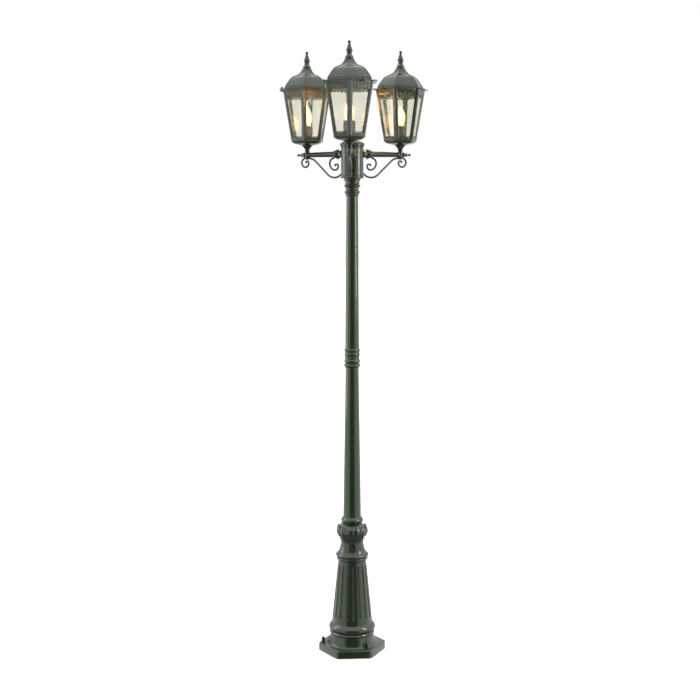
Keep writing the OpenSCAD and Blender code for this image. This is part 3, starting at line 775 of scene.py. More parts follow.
@dataclass(frozen=True)
class Paint(Finish):
    """Glossy stoved paint on cast or drawn metal.

    Attributes:
        colour: Colour of the paint.
        worn: Colour where it has thinned on edges.
        dust: Colour of settled dust.
        dust_amount: How much dust lies on it.
        roughness: Roughness under the clear coat.
        skin_scale: Features of the casting's skin in a metre.
        skin_depth: Height of that skin, in metres.
        drawn: Strength of the lines of a drawn tube.
    """

    colour: Colour = (0.0085, 0.0245, 0.0058, 1.0)
    worn: Colour = (0.045, 0.075, 0.040, 1.0)
    dust: Colour = (0.160, 0.170, 0.110, 1.0)
    dust_amount: float = 0.05
    roughness: float = 0.20
    skin_scale: float = 420.0
    skin_depth: float = 0.00012
    drawn: float = 0.0

    def wire(self, net: Net) -> Socket:
        """Wires drifting paint, thin on its edges, under dust and a clear coat."""
        skin = CAST_SKIN.on(net, Scale=self.skin_scale)
        drift = COLOUR_DRIFT.on(net, Colour=self.colour, Scale=11.0, Spread=0.22)
        wear = EDGE_WEAR.on(net, Amount=0.35)
        dust = SETTLED_DUST.on(net, Amount=self.dust_amount)
        tint = net.mix(wear["Mask"], drift["Colour"], self.worn)
        tint = net.mix(dust["Mask"], tint, self.dust)
        rough = net.ramp(skin["Mottle"], 0.0, 1.0, self.roughness - 0.04, self.roughness + 0.07)
        rough = net.math("ADD", rough, net.math("MULTIPLY", dust["Mask"], 0.5), True)
        height = skin["Height"]
        if self.drawn:
            lines = DRAWN_LINES.on(net, Scale=420.0)
            height = net.math("ADD", net.math("MULTIPLY", height, 0.4),
                              net.math("MULTIPLY", lines["Height"], self.drawn))
        return net.surface(Base_Color=tint, Roughness=rough, IOR=1.5, Coat_Weight=0.35,
                           Coat_Roughness=0.06, Normal=net.bump(height, self.skin_depth, 0.5))


@dataclass(frozen=True)
class Glass(Finish):
    """Clear glass that lets the light of the lamps out.

    Attributes:
        tint: Colour that one pane gives to what is seen through it.
        spread: How far the tint drifts.
        ripple_scale: Waves in a metre.
        ripple_depth: Height of the waves, in metres.
        glow: Strength of the light that the glass gives off.
        glow_colour: Colour of that light.
    """

    tint: Colour = (0.88, 0.875, 0.80, 1.0)
    spread: float = 0.05
    ripple_scale: float = 30.0
    ripple_depth: float = 0.0012
    glow: float = 0.0
    glow_colour: Colour = (1.0, 0.75, 0.42, 1.0)

    def wire(self, net: Net) -> Socket:
        """Wires wavy glass whose shadow rays pass straight through."""
        ripple = GLASS_RIPPLE.on(net, Scale=self.ripple_scale)
        drift = COLOUR_DRIFT.on(net, Colour=self.tint, Scale=14.0, Spread=self.spread)
        glass = net.surface(
            Base_Color=drift["Colour"], Roughness=net.ramp(ripple["Wave"], 0.0, 1.0, 0.0, 0.035),
            IOR=1.45, Transmission_Weight=1.0, Emission_Color=self.glow_colour,
            Emission_Strength=self.glow, Normal=net.bump(ripple["Height"], self.ripple_depth, 0.6))
        clear = net.add("BsdfTransparent", {"Color": self.tint}).outputs["BSDF"]
        return net.blended(net.add("LightPath").outputs["Is Shadow Ray"], glass, clear)


@dataclass(frozen=True)
class Filament(Finish):
    """The burning core of a lamp.

    Attributes:
        hot: Colour of its middle.
        warm: Colour towards its ends.
        power: Strength of its light.
    """

    hot: Colour = (1.0, 0.84, 0.52, 1.0)
    warm: Colour = (1.0, 0.60, 0.22, 1.0)
    power: float = 4.5

    def wire(self, net: Net) -> Socket:
        """Wires a glow that is hotter in some places than in others."""
        heat = net.ramp(net.noise(45.0, detail=2.0, stretch=(1.0, 1.0, 0.4)), 0.3, 0.6)
        return net.surface(Base_Color=(0.9, 0.8, 0.6, 1.0), Roughness=0.5,
                           Emission_Color=net.mix(heat, self.warm, self.hot),
                           Emission_Strength=self.power)


@dataclass(frozen=True)
class Brass(Finish):
    """Rolled bright brass.

    Attributes:
        colour: Colour of clean metal.
        tarnish: Colour where it has darkened.
    """

    colour: Colour = (0.78, 0.62, 0.33, 1.0)
    tarnish: Colour = (0.30, 0.19, 0.08, 1.0)

    def wire(self, net: Net) -> Socket:
        """Wires metal with patches of tarnish and bright edges."""
        skin = CAST_SKIN.on(net, Scale=1500.0)
        wear = EDGE_WEAR.on(net, Amount=0.8)
        patch = net.ramp(net.noise(160.0, detail=5.0, roughness=0.65), 0.45, 0.7)
        tint = net.mix(patch, self.colour, self.tarnish)
        tint = net.mix(wear["Mask"], tint, (0.95, 0.84, 0.60, 1.0))
        rough = net.ramp(skin["Mottle"], 0.0, 1.0, 0.2, 0.38)
        return net.surface(Base_Color=tint, Metallic=1.0, Roughness=rough,
                           Normal=net.bump(skin["Height"], 0.00008, 0.4))


@dataclass(frozen=True)
class Plastic(Finish):
    """Moulded plastic or rubber.

    Attributes:
        colour: Its colour.
        roughness: Its roughness.
        grain_scale: Grains in a metre.
        dust_amount: How much dust lies on it.
        bounce: Specular level of its surface.
    """

    colour: Colour = (0.018, 0.019, 0.017, 1.0)
    roughness: float = 0.42
    grain_scale: float = 1700.0
    dust_amount: float = 0.3
    bounce: float = 0.5

    def wire(self, net: Net) -> Socket:
        """Wires grained plastic with handled patches and a little dust."""
        grain = PLASTIC_GRAIN.on(net, Scale=self.grain_scale)
        drift = COLOUR_DRIFT.on(net, Colour=self.colour, Scale=40.0, Spread=0.15)
        dust = SETTLED_DUST.on(net, Amount=self.dust_amount)
        tint = net.mix(dust["Mask"], drift["Colour"], (0.24, 0.23, 0.20, 1.0))
        rough = net.ramp(grain["Mottle"], 0.0, 1.0, self.roughness - 0.06, self.roughness + 0.08)
        rough = net.math("ADD", rough, net.math("MULTIPLY", dust["Mask"], 0.4), True)
        return net.surface(Base_Color=tint, Roughness=rough, Specular_IOR_Level=self.bounce,
                           Normal=net.bump(grain["Height"], 0.0001, 0.35))


def seen(net: Net) -> Socket:
    """Gives one for rays that are looked along, bare or through glass, and nothing for others."""
    ray = net.add("LightPath").outputs
    return net.math("MAXIMUM", ray["Is Camera Ray"], ray["Is Transmission Ray"])


@dataclass(frozen=True)
class Backdrop(Finish):
    """The matt pale floor of the studio, which only the camera sees.

    Attributes:
        colour: Its colour.
    """

    colour: Colour = (0.96, 0.96, 0.96, 1.0)

    def wire(self, net: Net) -> Socket:
        """Wires a matt surface that lets every other ray through to the surround."""
        pale = net.mix(net.ramp(net.noise(2.0), 0.3, 0.7), self.colour, (0.95, 0.95, 0.95, 1.0))
        matt = net.surface(Base_Color=pale, Roughness=0.9, Specular_IOR_Level=0.1)
        return net.blended(seen(net), net.add("BsdfTransparent").outputs["BSDF"], matt)


CAST_PAINT = Paint("cast green paint", Slot.PAINT)
TUBE_PAINT = Paint("drawn tube green paint", Slot.PAINT, skin_depth=0.00008, drawn=1.2,
                   dust_amount=0.03, roughness=0.15)
PANE_GLASS = Glass("wavy pane glass", Slot.PANE)
LAMP_GLASS = Glass("lamp glass", Slot.LAMP, tint=(1.0, 0.95, 0.82, 1.0), spread=0.02,
                   ripple_scale=25.0, ripple_depth=0.0002, glow=0.35)
LAMP_CORE = Filament("lamp core", Slot.LAMP)
LAMP_BRASS = Brass("rolled brass", Slot.BRASS)
BLACK_PLASTIC = Plastic("black plastic", Slot.BLACK)
IVORY_PLASTIC = Plastic("ivory plastic", Slot.IVORY, colour=(0.56, 0.51, 0.38, 1.0),
                        dust_amount=0.12)
LEAD_SHEATH = Plastic("lead sheath", Slot.SHEATH, colour=(0.02, 0.02, 0.02, 1.0), roughness=0.5,
                      grain_scale=900.0, dust_amount=0.1, bounce=0.3)
PALE_FLOOR = Backdrop("pale floor", None)


# ---- frame ----


def low(node: str) -> float:
    """Gives the height of a CAD node's underside, in millimetres."""
    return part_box(node)[0].z / MM


def high(node: str) -> float:
    """Gives the height of a CAD node's top, in millimetres."""
    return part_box(node)[1].z / MM


def fitted(piece: Piece, finish: Finish, body: str, *nodes: str) -> None:
    """Dresses a piece, hangs it on its body and lets it stand for CAD nodes.

    Args:
        piece: The piece, in place in the row frame.
        finish: Its finish.
        body: The CAD body that it moves with.
        *nodes: CAD nodes that it stands for.
    """
    finish.dress(piece)
    if nodes:
        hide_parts(*nodes)
    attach(piece, body)
    LOG.info("%s on %s: %d faces", piece.name, body, len(piece.data.polygons))


def dressed_node(frame: dict, node: str, finish: Finish) -> None:
    """Gives a CAD node that stays its finish.

    Args:
        frame: The loaded frame.
        node: Name of the node.
        finish: Its finish.
    """
    piece = frame["nodes"][node]
    finish.dress(piece)
    LOG.info("%s keeps its CAD shape", node)


# ---- base ----


@dataclass
class Base:
    """Base plate, foot, fluted body, leaf capital and earth cap.

    Attributes:
        plate_af: Width of the plate between flats.
        cable_entry_d: Diameter of the cable entry.
        anchor_pcd: Diameter of the circle through the anchor holes.
        anchor_d: Diameter of an anchor hole.
        pocket_r: Radius of the pockets in the foot over the anchor holes.
        foot_h: Height of the foot.
        fluted_h: Height of the fluted body.
        fluted_d1: Diameter of the fluted body at its foot.
        fluted_d2: Diameter of the fluted body at its top.
        flute_count: Number of flutes.
        flute_w: Width of a flute.
        flute_depth: Depth of a flute.
        flute_margin: Plain skin between a flute's end and the edge of the fluted body.
        flare_out: How far the foot's flare stands out past the fluted body.
        neck_out: How far the neck over the flare stands out past it.
        waist_d: Diameter of the waist under the capital.
        collar_d: Diameter of the lower pole at its foot.
        wall: Wall of the castings.
        leaf_count: Number of leaves round the capital.
        earth_inset: Distance of the earth cap from the plate's corner.
        earth_d: Diameter of the earth cap's flange.
    """

    plate_af: float = 218.0
    cable_entry_d: float = 70.0
    anchor_pcd: float = 180.0
    anchor_d: float = 11.0
    pocket_r: float = 10.5
    foot_h: float = 85.0
    fluted_h: float = 230.0
    fluted_d1: float = 149.0
    fluted_d2: float = 103.0
    flute_count: int = 18
    flute_w: float = 9.0
    flute_depth: float = 3.0
    flute_margin: float = 16.0
    flare_out: float = 18.0
    neck_out: float = 6.0
    waist_d: float = 83.0
    collar_d: float = 65.5
    wall: float = 7.0
    leaf_count: int = 12
    earth_inset: float = 18.0
    earth_d: float = 15.0

    def __post_init__(self) -> None:
        """Reads the heights of the castings from the frame."""
        self.foot_z = high("base_plate")
        self.fluted_z = self.foot_z + self.foot_h
        self.shoulder_z = self.fluted_z + self.fluted_h
        self.capital_z = high("base_body")
        self.pole_z = low("lower_pole")
        self.plate_r = self.plate_af / 2 / COS30
        self.neck_r = self.fluted_d1 / 2 + self.neck_out
        self.flute_end = self.flute_margin + self.flute_w / 2

    def anchor_cutters(self, radius: float, z0: float, z1: float) -> Mould:
        """Gives round cutters over the anchor holes between two heights."""
        tool = Mould()
        for k in range(3):
            place = Matrix.Rotation(radians(180 + 120 * k), 4, "Z")
            place @= Matrix.Translation((self.anchor_pcd / 2, 0, 0))
            tool.turn([(radius, z0), (radius, z1)], 40, place)
        return tool

    def plate(self) -> Piece:
        """Makes the six-sided plate with its cable entry and anchor holes."""
        mould = Mould()
        edge = [(self.plate_r - 1.5, 0.0), (self.plate_r, 1.5), (self.plate_r, self.foot_z - 2.2),
                (self.plate_r - 2.6, self.foot_z - 0.3), (self.plate_r - 6.0, self.foot_z)]
        mould.hexed(eased(edge, 1.2), 10.0)
        piece = mould.cast("hexagonal_plate")
        tool = self.anchor_cutters(self.anchor_d / 2, -5.0, self.foot_z + 5.0)
        tool.turn([(self.cable_entry_d / 2, -5.0), (self.cable_entry_d / 2, self.foot_z + 5)], 72)
        return carved(piece, tool)

    def foot_outline(self) -> Outline:
        """Gives the foot's outer line, from the plate to the fluted body."""
        z, h, flare = self.foot_z, self.foot_h, self.fluted_d1 / 2 + self.flare_out
        return (cove(flare, z, self.neck_r, z + h * 0.4, 0.45)
                + bead(self.neck_r, z + h * 0.43, self.neck_r, z + h * 0.56, 3.0, 10)
                + bead(self.neck_r, z + h * 0.56, self.fluted_d1 / 2, z + h * 0.94, 8.5, 20))

    def shoulder_outline(self) -> Outline:
        """Gives the shoulder's outer line, from the fluted body to the waist."""
        z, h, r = self.shoulder_z, self.capital_z - self.shoulder_z, self.fluted_d2 / 2
        return (bead(r, z, r + 5.5, z + h * 0.17, 3.6, 10)
                + bead(r + 5.5, z + h * 0.19, r + 4, z + h * 0.44, 4.4, 14)
                + cove(r + 2, z + h * 0.46, self.waist_d / 2, self.capital_z, 0.6, 18))

    def flute(self, angle: float, radius: float, z: float) -> tuple[float, float, float]:
        """Sinks the flutes into the fluted body.

        Args:
            angle: Angle of a point of the body.
            radius: Its radius.
            z: Its height.

        Returns:
            The point's new angle, radius and height.
        """
        span = (z - self.fluted_z) / self.fluted_h
        skin = (self.fluted_d1 + (self.fluted_d2 - self.fluted_d1) * span) / 2
        if not 0.0 < span < 1.0 or radius < skin - 1.0:
            return angle, radius, z
        pitch = TAU / self.flute_count
        number = round((angle + TAU / 4) / pitch)
        middle = number * pitch - TAU / 4
        part = (angle - middle) / (pitch / 2)
        half, rise = self.flute_w / 2, self.flute_w / 2 - self.flute_depth
        mouth = math.sqrt(half * half - rise * rise)
        edge = mouth / skin / (pitch / 2)
        across = abs(part)
        across = across / 0.6 * edge if across <= 0.6 else edge + (across - 0.6) / 0.4 * (1 - edge)
        x = across * pitch / 2 * skin
        past = max(self.fluted_z + self.flute_end - z,
                   z - (self.fluted_z + self.fluted_h - self.flute_end), 0.0)
        left = half * half - x * x - past * past
        if left > rise * rise:
            radius = skin + rise - math.sqrt(left)
        return middle + math.copysign(across, part) * pitch / 2, radius, z

    def fluted_outline(self) -> Outline:
        """Gives the fluted body's line, with close points at the ends of the flutes."""
        ends = (self.flute_end, self.fluted_h - self.flute_end)
        heights = {0.0, 2.0, self.fluted_h - 2.0, self.fluted_h}
        heights |= {end + step * 0.5 for end in ends for step in range(-10, 11)}
        heights |= {self.flute_end + 12.0 * k for k in range(1, 16)}
        line = []
        for h in sorted(heights):
            r = self.fluted_d1 / 2 + (self.fluted_d2 - self.fluted_d1) / 2 * h / self.fluted_h
            line.append((r, self.fluted_z + h))
        return line

    def body(self) -> Piece:
        """Makes the hollow foot, fluted body and shoulder as one casting."""
        inner = [(self.fluted_d1 / 2 - self.wall, self.foot_z),
                 (self.fluted_d1 / 2 - self.wall, self.fluted_z),
                 (self.fluted_d2 / 2 - self.wall, self.shoulder_z),
                 (self.waist_d / 2 - self.wall, self.capital_z - 8),
                 (self.waist_d / 2 - self.wall, self.capital_z)]
        outer = self.foot_outline() + self.fluted_outline() + self.shoulder_outline()
        mould = Mould()
        mould.turn(hollow(outer, inner), self.flute_count * 20, closed=True, remap=self.flute)
        piece = mould.cast("fluted_body")
        top = self.foot_z + self.foot_h * 0.45
        return carved(piece, self.anchor_cutters(self.pocket_r, self.foot_z - 5, top))

    def leaf(self, mould: Mould, turn: float, base: tuple[float, float], tip: tuple[float, float],
             width: float, belly: float, curl: float) -> None:
        """Adds one leaf that stands on the capital.

        Args:
            mould: The mould that takes it.
            turn: Its angle round the post, in radians.
            base: Radius and height of its foot.
            tip: Radius and height of its tip.
            width: Its greatest width.
            belly: How far its middle stands out.
            curl: How far its tip bends outward.
        """
        rings = []
        for i in range(11):
            v = i / 10
            r = base[0] + (tip[0] - base[0]) * v + belly * sin(math.pi * v) + curl * v**6
            z = base[1] + (tip[1] - base[1]) * v
            half = width / 2 * max(0.05, sin(math.pi * min(1.0, 0.3 + 0.7 * v)) ** 0.6)
            across = [-1.0, -0.7, -0.35, -0.12, 0.0, 0.12, 0.35, 0.7, 1.0]
            camber = [1.7 * (1 - u * u) + (0.9 if abs(u) < 0.05 else 0.0) for u in across]
            face = [(u, r + c + 0.6) for u, c in zip(across, camber)]
            back = [(u, r + 1.2 * (1 - u * u) - 1.4) for u in reversed(across)]
            ring = []
            for u, q in face + back:
                a = turn + u * half / r
                ring.append(Vector((q * cos(a), q * sin(a), z)))
            rings.append(ring)
        mould.skin(rings)

    def capital(self) -> Piece:
        """Makes the capital with its ring of leaves."""
        z, h = self.capital_z, self.pole_z - self.capital_z
        leaf_r = self.waist_d / 2 + 15
        outer = (cove(self.waist_d / 2, z, leaf_r - 4, z + h * 0.34, 1.8, 18)
                 + bead(leaf_r - 4, z + h * 0.34, leaf_r - 10, z + h * 0.67, 6.0, 18)
                 + cove(leaf_r - 10, z + h * 0.67, self.collar_d / 2 + 3, z + h * 0.74, 1.0, 3)
                 + bead(self.collar_d / 2 + 3, z + h * 0.76, self.collar_d / 2 + 1, self.pole_z,
                        6.0, 20))

        def lobes(angle: float, radius: float, height: float) -> tuple[float, float, float]:
            """Swells the belly of the capital between its leaves."""
            up = (height - z) / h
            belly = sin(math.pi * min(1.0, max(0.0, (up - 0.3) / 0.4)))
            wave = abs(sin(angle * self.leaf_count / 2)) ** 0.6
            return angle, radius - 1.6 * belly * (1.0 - wave), height

        mould = Mould()
        mould.turn(outer, 144, remap=lobes)
        for k in range(self.leaf_count):
            turn = TAU * (k + 0.5) / self.leaf_count
            self.leaf(mould, turn, (leaf_r - 8.0, z + h * 0.29), (leaf_r - 9.0, z + h * 0.69),
                      31.0, 8.0, 2.5)
            self.leaf(mould, turn + TAU / 2 / self.leaf_count, (leaf_r - 8.0, z + h * 0.31),
                      (leaf_r - 9.5, z + h * 0.655), 22.0, 7.0, 1.5)
        return mould.cast("leaf_capital")

    def earth_cap(self) -> Piece:
        """Makes the black domed cap of the earth screw."""
        r = self.earth_d / 2
        mould = Mould(Matrix.Rotation(math.pi, 4, "Z")
                      @ Matrix.Translation((self.plate_r - self.earth_inset, 0, self.foot_z)))
        line = eased([(r - 0.6, 0.0), (r, 0.8), (r, 2.4), (r - 1.2, 3.2), (r - 1.4, 13.0)], 0.5)
        mould.turn(line + dome(r - 1.3, 14.4, 0, 90, 8, 0.05), 40)
        return mould.cast("earth_screw_cap")

    def build(self) -> None:
        """Builds and fits the pieces of the base."""
        fitted(self.plate(), CAST_PAINT, "post", "base_plate")
        fitted(self.body(), CAST_PAINT, "post", "base_body")
        fitted(self.capital(), CAST_PAINT, "post", "base_capital")
        fitted(self.earth_cap(), BLACK_PLASTIC, "post", "earth_cap")


# ---- pole ----


@dataclass
class Pole:
    """The two drawn tubes and the beaded castings that join them.

    Attributes:
        lower: Diameters of the lower tube at its foot and top.
        upper: Diameters of the upper tube at its foot and top.
        wall: Wall of the tubes.
        bore: Bore of the joints.
        head_r: Radius of the top joint's head, which is the floor of the hub.
    """

    lower: tuple[float, float] = (65.5, 47.6)
    upper: tuple[float, float] = (50.6, 41.8)
    wall: float = 3.0
    bore: float = 24.0
    head_r: float = 35.9

    def tube(self, name: str, node: str, sizes: tuple[float, float]) -> None:
        """Builds and fits one drawn tube.

        Args:
            name: Name of the piece.
            node: The CAD node that it stands for.
            sizes: Its diameters at its foot and top.
        """
        z0, z1 = low(node), high(node)
        run = [k / 24 for k in range(25)]
        outer = [((sizes[0] + (sizes[1] - sizes[0]) * t) / 2, z0 + (z1 - z0) * t) for t in run]
        inner = [(outer[0][0] - self.wall, z0), (outer[-1][0] - self.wall, z1)]
        mould = Mould()
        mould.turn(hollow(outer, inner), 96, closed=True)
        fitted(mould.cast(name), TUBE_PAINT, "post", node)

    def mid_joint(self, z0: float, z1: float) -> Outline:
        """Gives the outer line of the joint between the tubes."""
        r, foot, s = self.upper[0] / 2, self.lower[1] / 2, (z1 - z0) / 70
        return ([(foot + 1, z0)]
                + bead(foot + 1.5, z0 + 2 * s, r + 0.8, z0 + 14 * s, 4.6)
                + bead(r + 0.8, z0 + 16 * s, r + 0.8, z0 + 31 * s, 3.0)
                + eased([(r + 0.5, z0 + 34 * s), (r + 1.4, z0 + 35.5 * s),
                         (r + 1.4, z0 + 37.5 * s), (r + 0.5, z0 + 39 * s)], 0.5)
                + bead(r + 0.8, z0 + 42 * s, r + 0.8, z0 + 55 * s, 2.2)
                + bead(r + 0.8, z0 + 57 * s, r + 0.6, z0 + 69 * s, 2.8)
                + [(r + 0.5, z1)])

    def top_joint(self, z0: float, z1: float) -> Outline:
        """Gives the outer line of the joint under the hub."""
        r, s = self.upper[1] / 2, (z1 - z0) / 66
        return (eased([(r + 0.5, z0), (r + 0.5, z0 + 2 * s), (r + 3.5, z0 + 9 * s),
                       (r + 3.5, z0 + 11 * s)], 1.0)
                + bead(r + 3.5, z0 + 12 * s, r + 2.5, z0 + 23 * s, 4.5)
                + eased([(r + 2.4, z0 + 25 * s), (r + 3.3, z0 + 27 * s),
                         (r + 3.3, z0 + 30 * s), (r + 2.4, z0 + 32 * s)], 0.5)
                + bead(r + 2.5, z0 + 33 * s, r + 4, z0 + 45 * s, 5.5)
                + eased([(r + 5.2, z0 + 48 * s), (r + 5.2, z0 + 57 * s)], 1.0)
                + cove(r + 6, z0 + 57 * s, r + 9.3, z0 + 62 * s, 0.5, 8)
                + [(r + 9.3, z1)])

    def joint(self, name: str, node: str, outer: Outline) -> None:
        """Builds and fits one beaded casting.

        Args:
            name: Name of the piece.
            node: The CAD node that it stands for.
            outer: Its outer line.
        """
        inner = [(self.bore / 2, outer[0][1]), (self.bore / 2, outer[-1][1])]
        mould = Mould()
        mould.turn(hollow(outer, inner), 96, closed=True)
        fitted(mould.cast(name), CAST_PAINT, "post", node)

    def build(self) -> None:
        """Builds and fits the pieces of the pole."""
        self.tube("lower_tube", "lower_pole", self.lower)
        mid = self.mid_joint(high("lower_pole"), low("upper_pole"))
        self.joint("middle_bead_joint", "mid_joint", mid)
        self.tube("upper_tube", "upper_pole", self.upper)
        top = self.top_joint(high("upper_pole"), low("hub_body"))
        top += eased([(r, z) for r, z in ((self.head_r, low("hub_body")),
                                          (self.head_r, high("top_joint") - 0.1))], 0.3)
        self.joint("top_bead_joint", "top_joint", top)


# ---- head ----


@dataclass
class Hub:
    """The hub with its lid, knob, screws and wiring.

    Attributes:
        diameter: Diameter of the hub.
        wall: Its wall.
        lip: How far its top ring stands proud.
        lid_gap: Radial clearance of the lid's plug.
        lid_plug: Depth of the lid's plug.
        screw_drop: Distance of the screws under the arms.
    """

    diameter: float = 80.0
    wall: float = 4.0
    lip: float = 3.5
    lid_gap: float = 0.4
    lid_plug: float = 6.0
    screw_drop: float = 48.0

    def body(self) -> Piece:
        """Makes the hollow hub with its rings."""
        r, z0, z1 = self.diameter / 2, low("hub_body"), high("hub_body")
        line = [(r - self.wall, z0), (r + 1.2, z0), (r + 1.8, z0 + 1.2), (r + 1.8, z0 + 4.2),
                (r, z0 + 5.8), (r, z0 + 9), (r + 0.9, z0 + 10), (r + 0.9, z0 + 12), (r, z0 + 13),
                (r, z1 - 14), (r + 0.9, z1 - 13), (r + 0.9, z1 - 11), (r, z1 - 10),
                (r + 0.2, z1 - 8), (r + self.lip, z1 - 5), (r + self.lip, z1 - 0.8),
                (r + self.lip - 0.8, z1), (r - self.wall, z1)]
        mould = Mould()
        mould.turn(eased(line, 0.8, closed=True), 120, closed=True)
        return mould.cast("hub_drum")

    def lid(self) -> Piece:
        """Makes the domed lid with its plug."""
        z, r = high("hub_body"), self.diameter / 2 + self.lip
        plug = self.diameter / 2 - self.wall - self.lid_gap
        line = [(plug - 4, z - self.lid_plug), (plug, z - self.lid_plug), (plug, z + 0.05),
                (r, z + 0.05), (r + 1, z + 1.5), (r, z + 4), (r - 4, z + 4.6)]
        line = eased(line, 0.6) + cove(r - 6, z + 5.2, 9, z + 15.5, 2.2, 18)
        line += [(8.0, z + 17), (0.4, z + 17)]
        mould = Mould()
        mould.turn(line, 96)
        return mould.cast("hub_lid")

    def knob(self) -> Piece:
        """Makes the turned knob on the lid."""
        z = low("cap_knob")
        mould = Mould()
        line = eased([(5.0, z - 0.2), (5.0, z + 2), (3.2, z + 2.8)], 0.5)
        mould.turn(line + dome(5.0, z + 6, -50, 88, 16), 36)
        return mould.cast("lid_knob")

    def screws(self, arms: list["Arm"]) -> Piece:
        """Makes the domed screws under the arms.

        Args:
            arms: The three arms.

        Returns:
            The piece.
        """
        mould = Mould()
        line = eased([(3.7, -0.6), (3.7, 1.6), (3.2, 2.2)], 0.4) + dome(2.6, 2.2, 0, 90, 6, 0.05)
        for arm in arms:
            out = Matrix.Translation((self.diameter / 2, 0, -self.screw_drop))
            mould.turn(line, 28, arm.place @ out @ Matrix.Rotation(TAU / 4, 4, "Y"))
        return mould.cast("hub_dome_screws")

    def block(self, turn: float) -> Piece:
        """Makes the terminal block with its three wells and two slots.

        Args:
            turn: Angle of the block round the post, in radians.

        Returns:
            The piece.
        """
        depth, width, height, inset = 14.0, 40.0, 28.0, 15.0
        z = low("terminal_block")
        place = Matrix.Rotation(turn, 4, "Z") @ Matrix.Translation((inset + depth / 2, 0, z))
        corners = [(depth / 2, width / 2), (-depth / 2, width / 2), (-depth / 2, -width / 2),
                   (depth / 2, -width / 2)]
        mould = Mould(place)
        mould.skin([[Vector((x, y, h)) for x, y in corners] for h in (0.0, height)])
        piece = mould.cast("terminal_block_body", bevel=1.0)
        tool = Mould(place)
        for k in (-1, 0, 1):
            tool.turn([(2.1, height - 10), (2.1, height + 2)], 24,
                      Matrix.Translation((0, k * 13.0, 0)))
        for k in (-0.5, 0.5):
            groove = [(depth / 2 + 1, k * 13 - 0.8), (depth / 2 + 1, k * 13 + 0.8),
                      (depth / 2 - 1.6, k * 13 + 0.8), (depth / 2 - 1.6, k * 13 - 0.8)]
            tool.skin([[Vector((-x, y, h)) for x, y in groove] for h in (-1.0, height + 1)])
        return carved(piece, tool)

    def build(self, frame: dict, arms: list["Arm"]) -> None:
        """Builds and fits the hub.

        Args:
            frame: The loaded frame.
            arms: The three arms.
        """
        fitted(self.body(), CAST_PAINT, "post", "hub_body")
        fitted(self.lid(), CAST_PAINT, "hub_cap", "hub_cap")
        fitted(self.knob(), CAST_PAINT, "hub_cap", "cap_knob")
        fitted(self.screws(arms), CAST_PAINT, "post", "hub_screws")
        turn = arms[0].turn + math.pi
        fitted(self.block(turn), IVORY_PLASTIC, "post", "terminal_block")
        dressed_node(frame, "lamp_leads", LEAD_SHEATH)


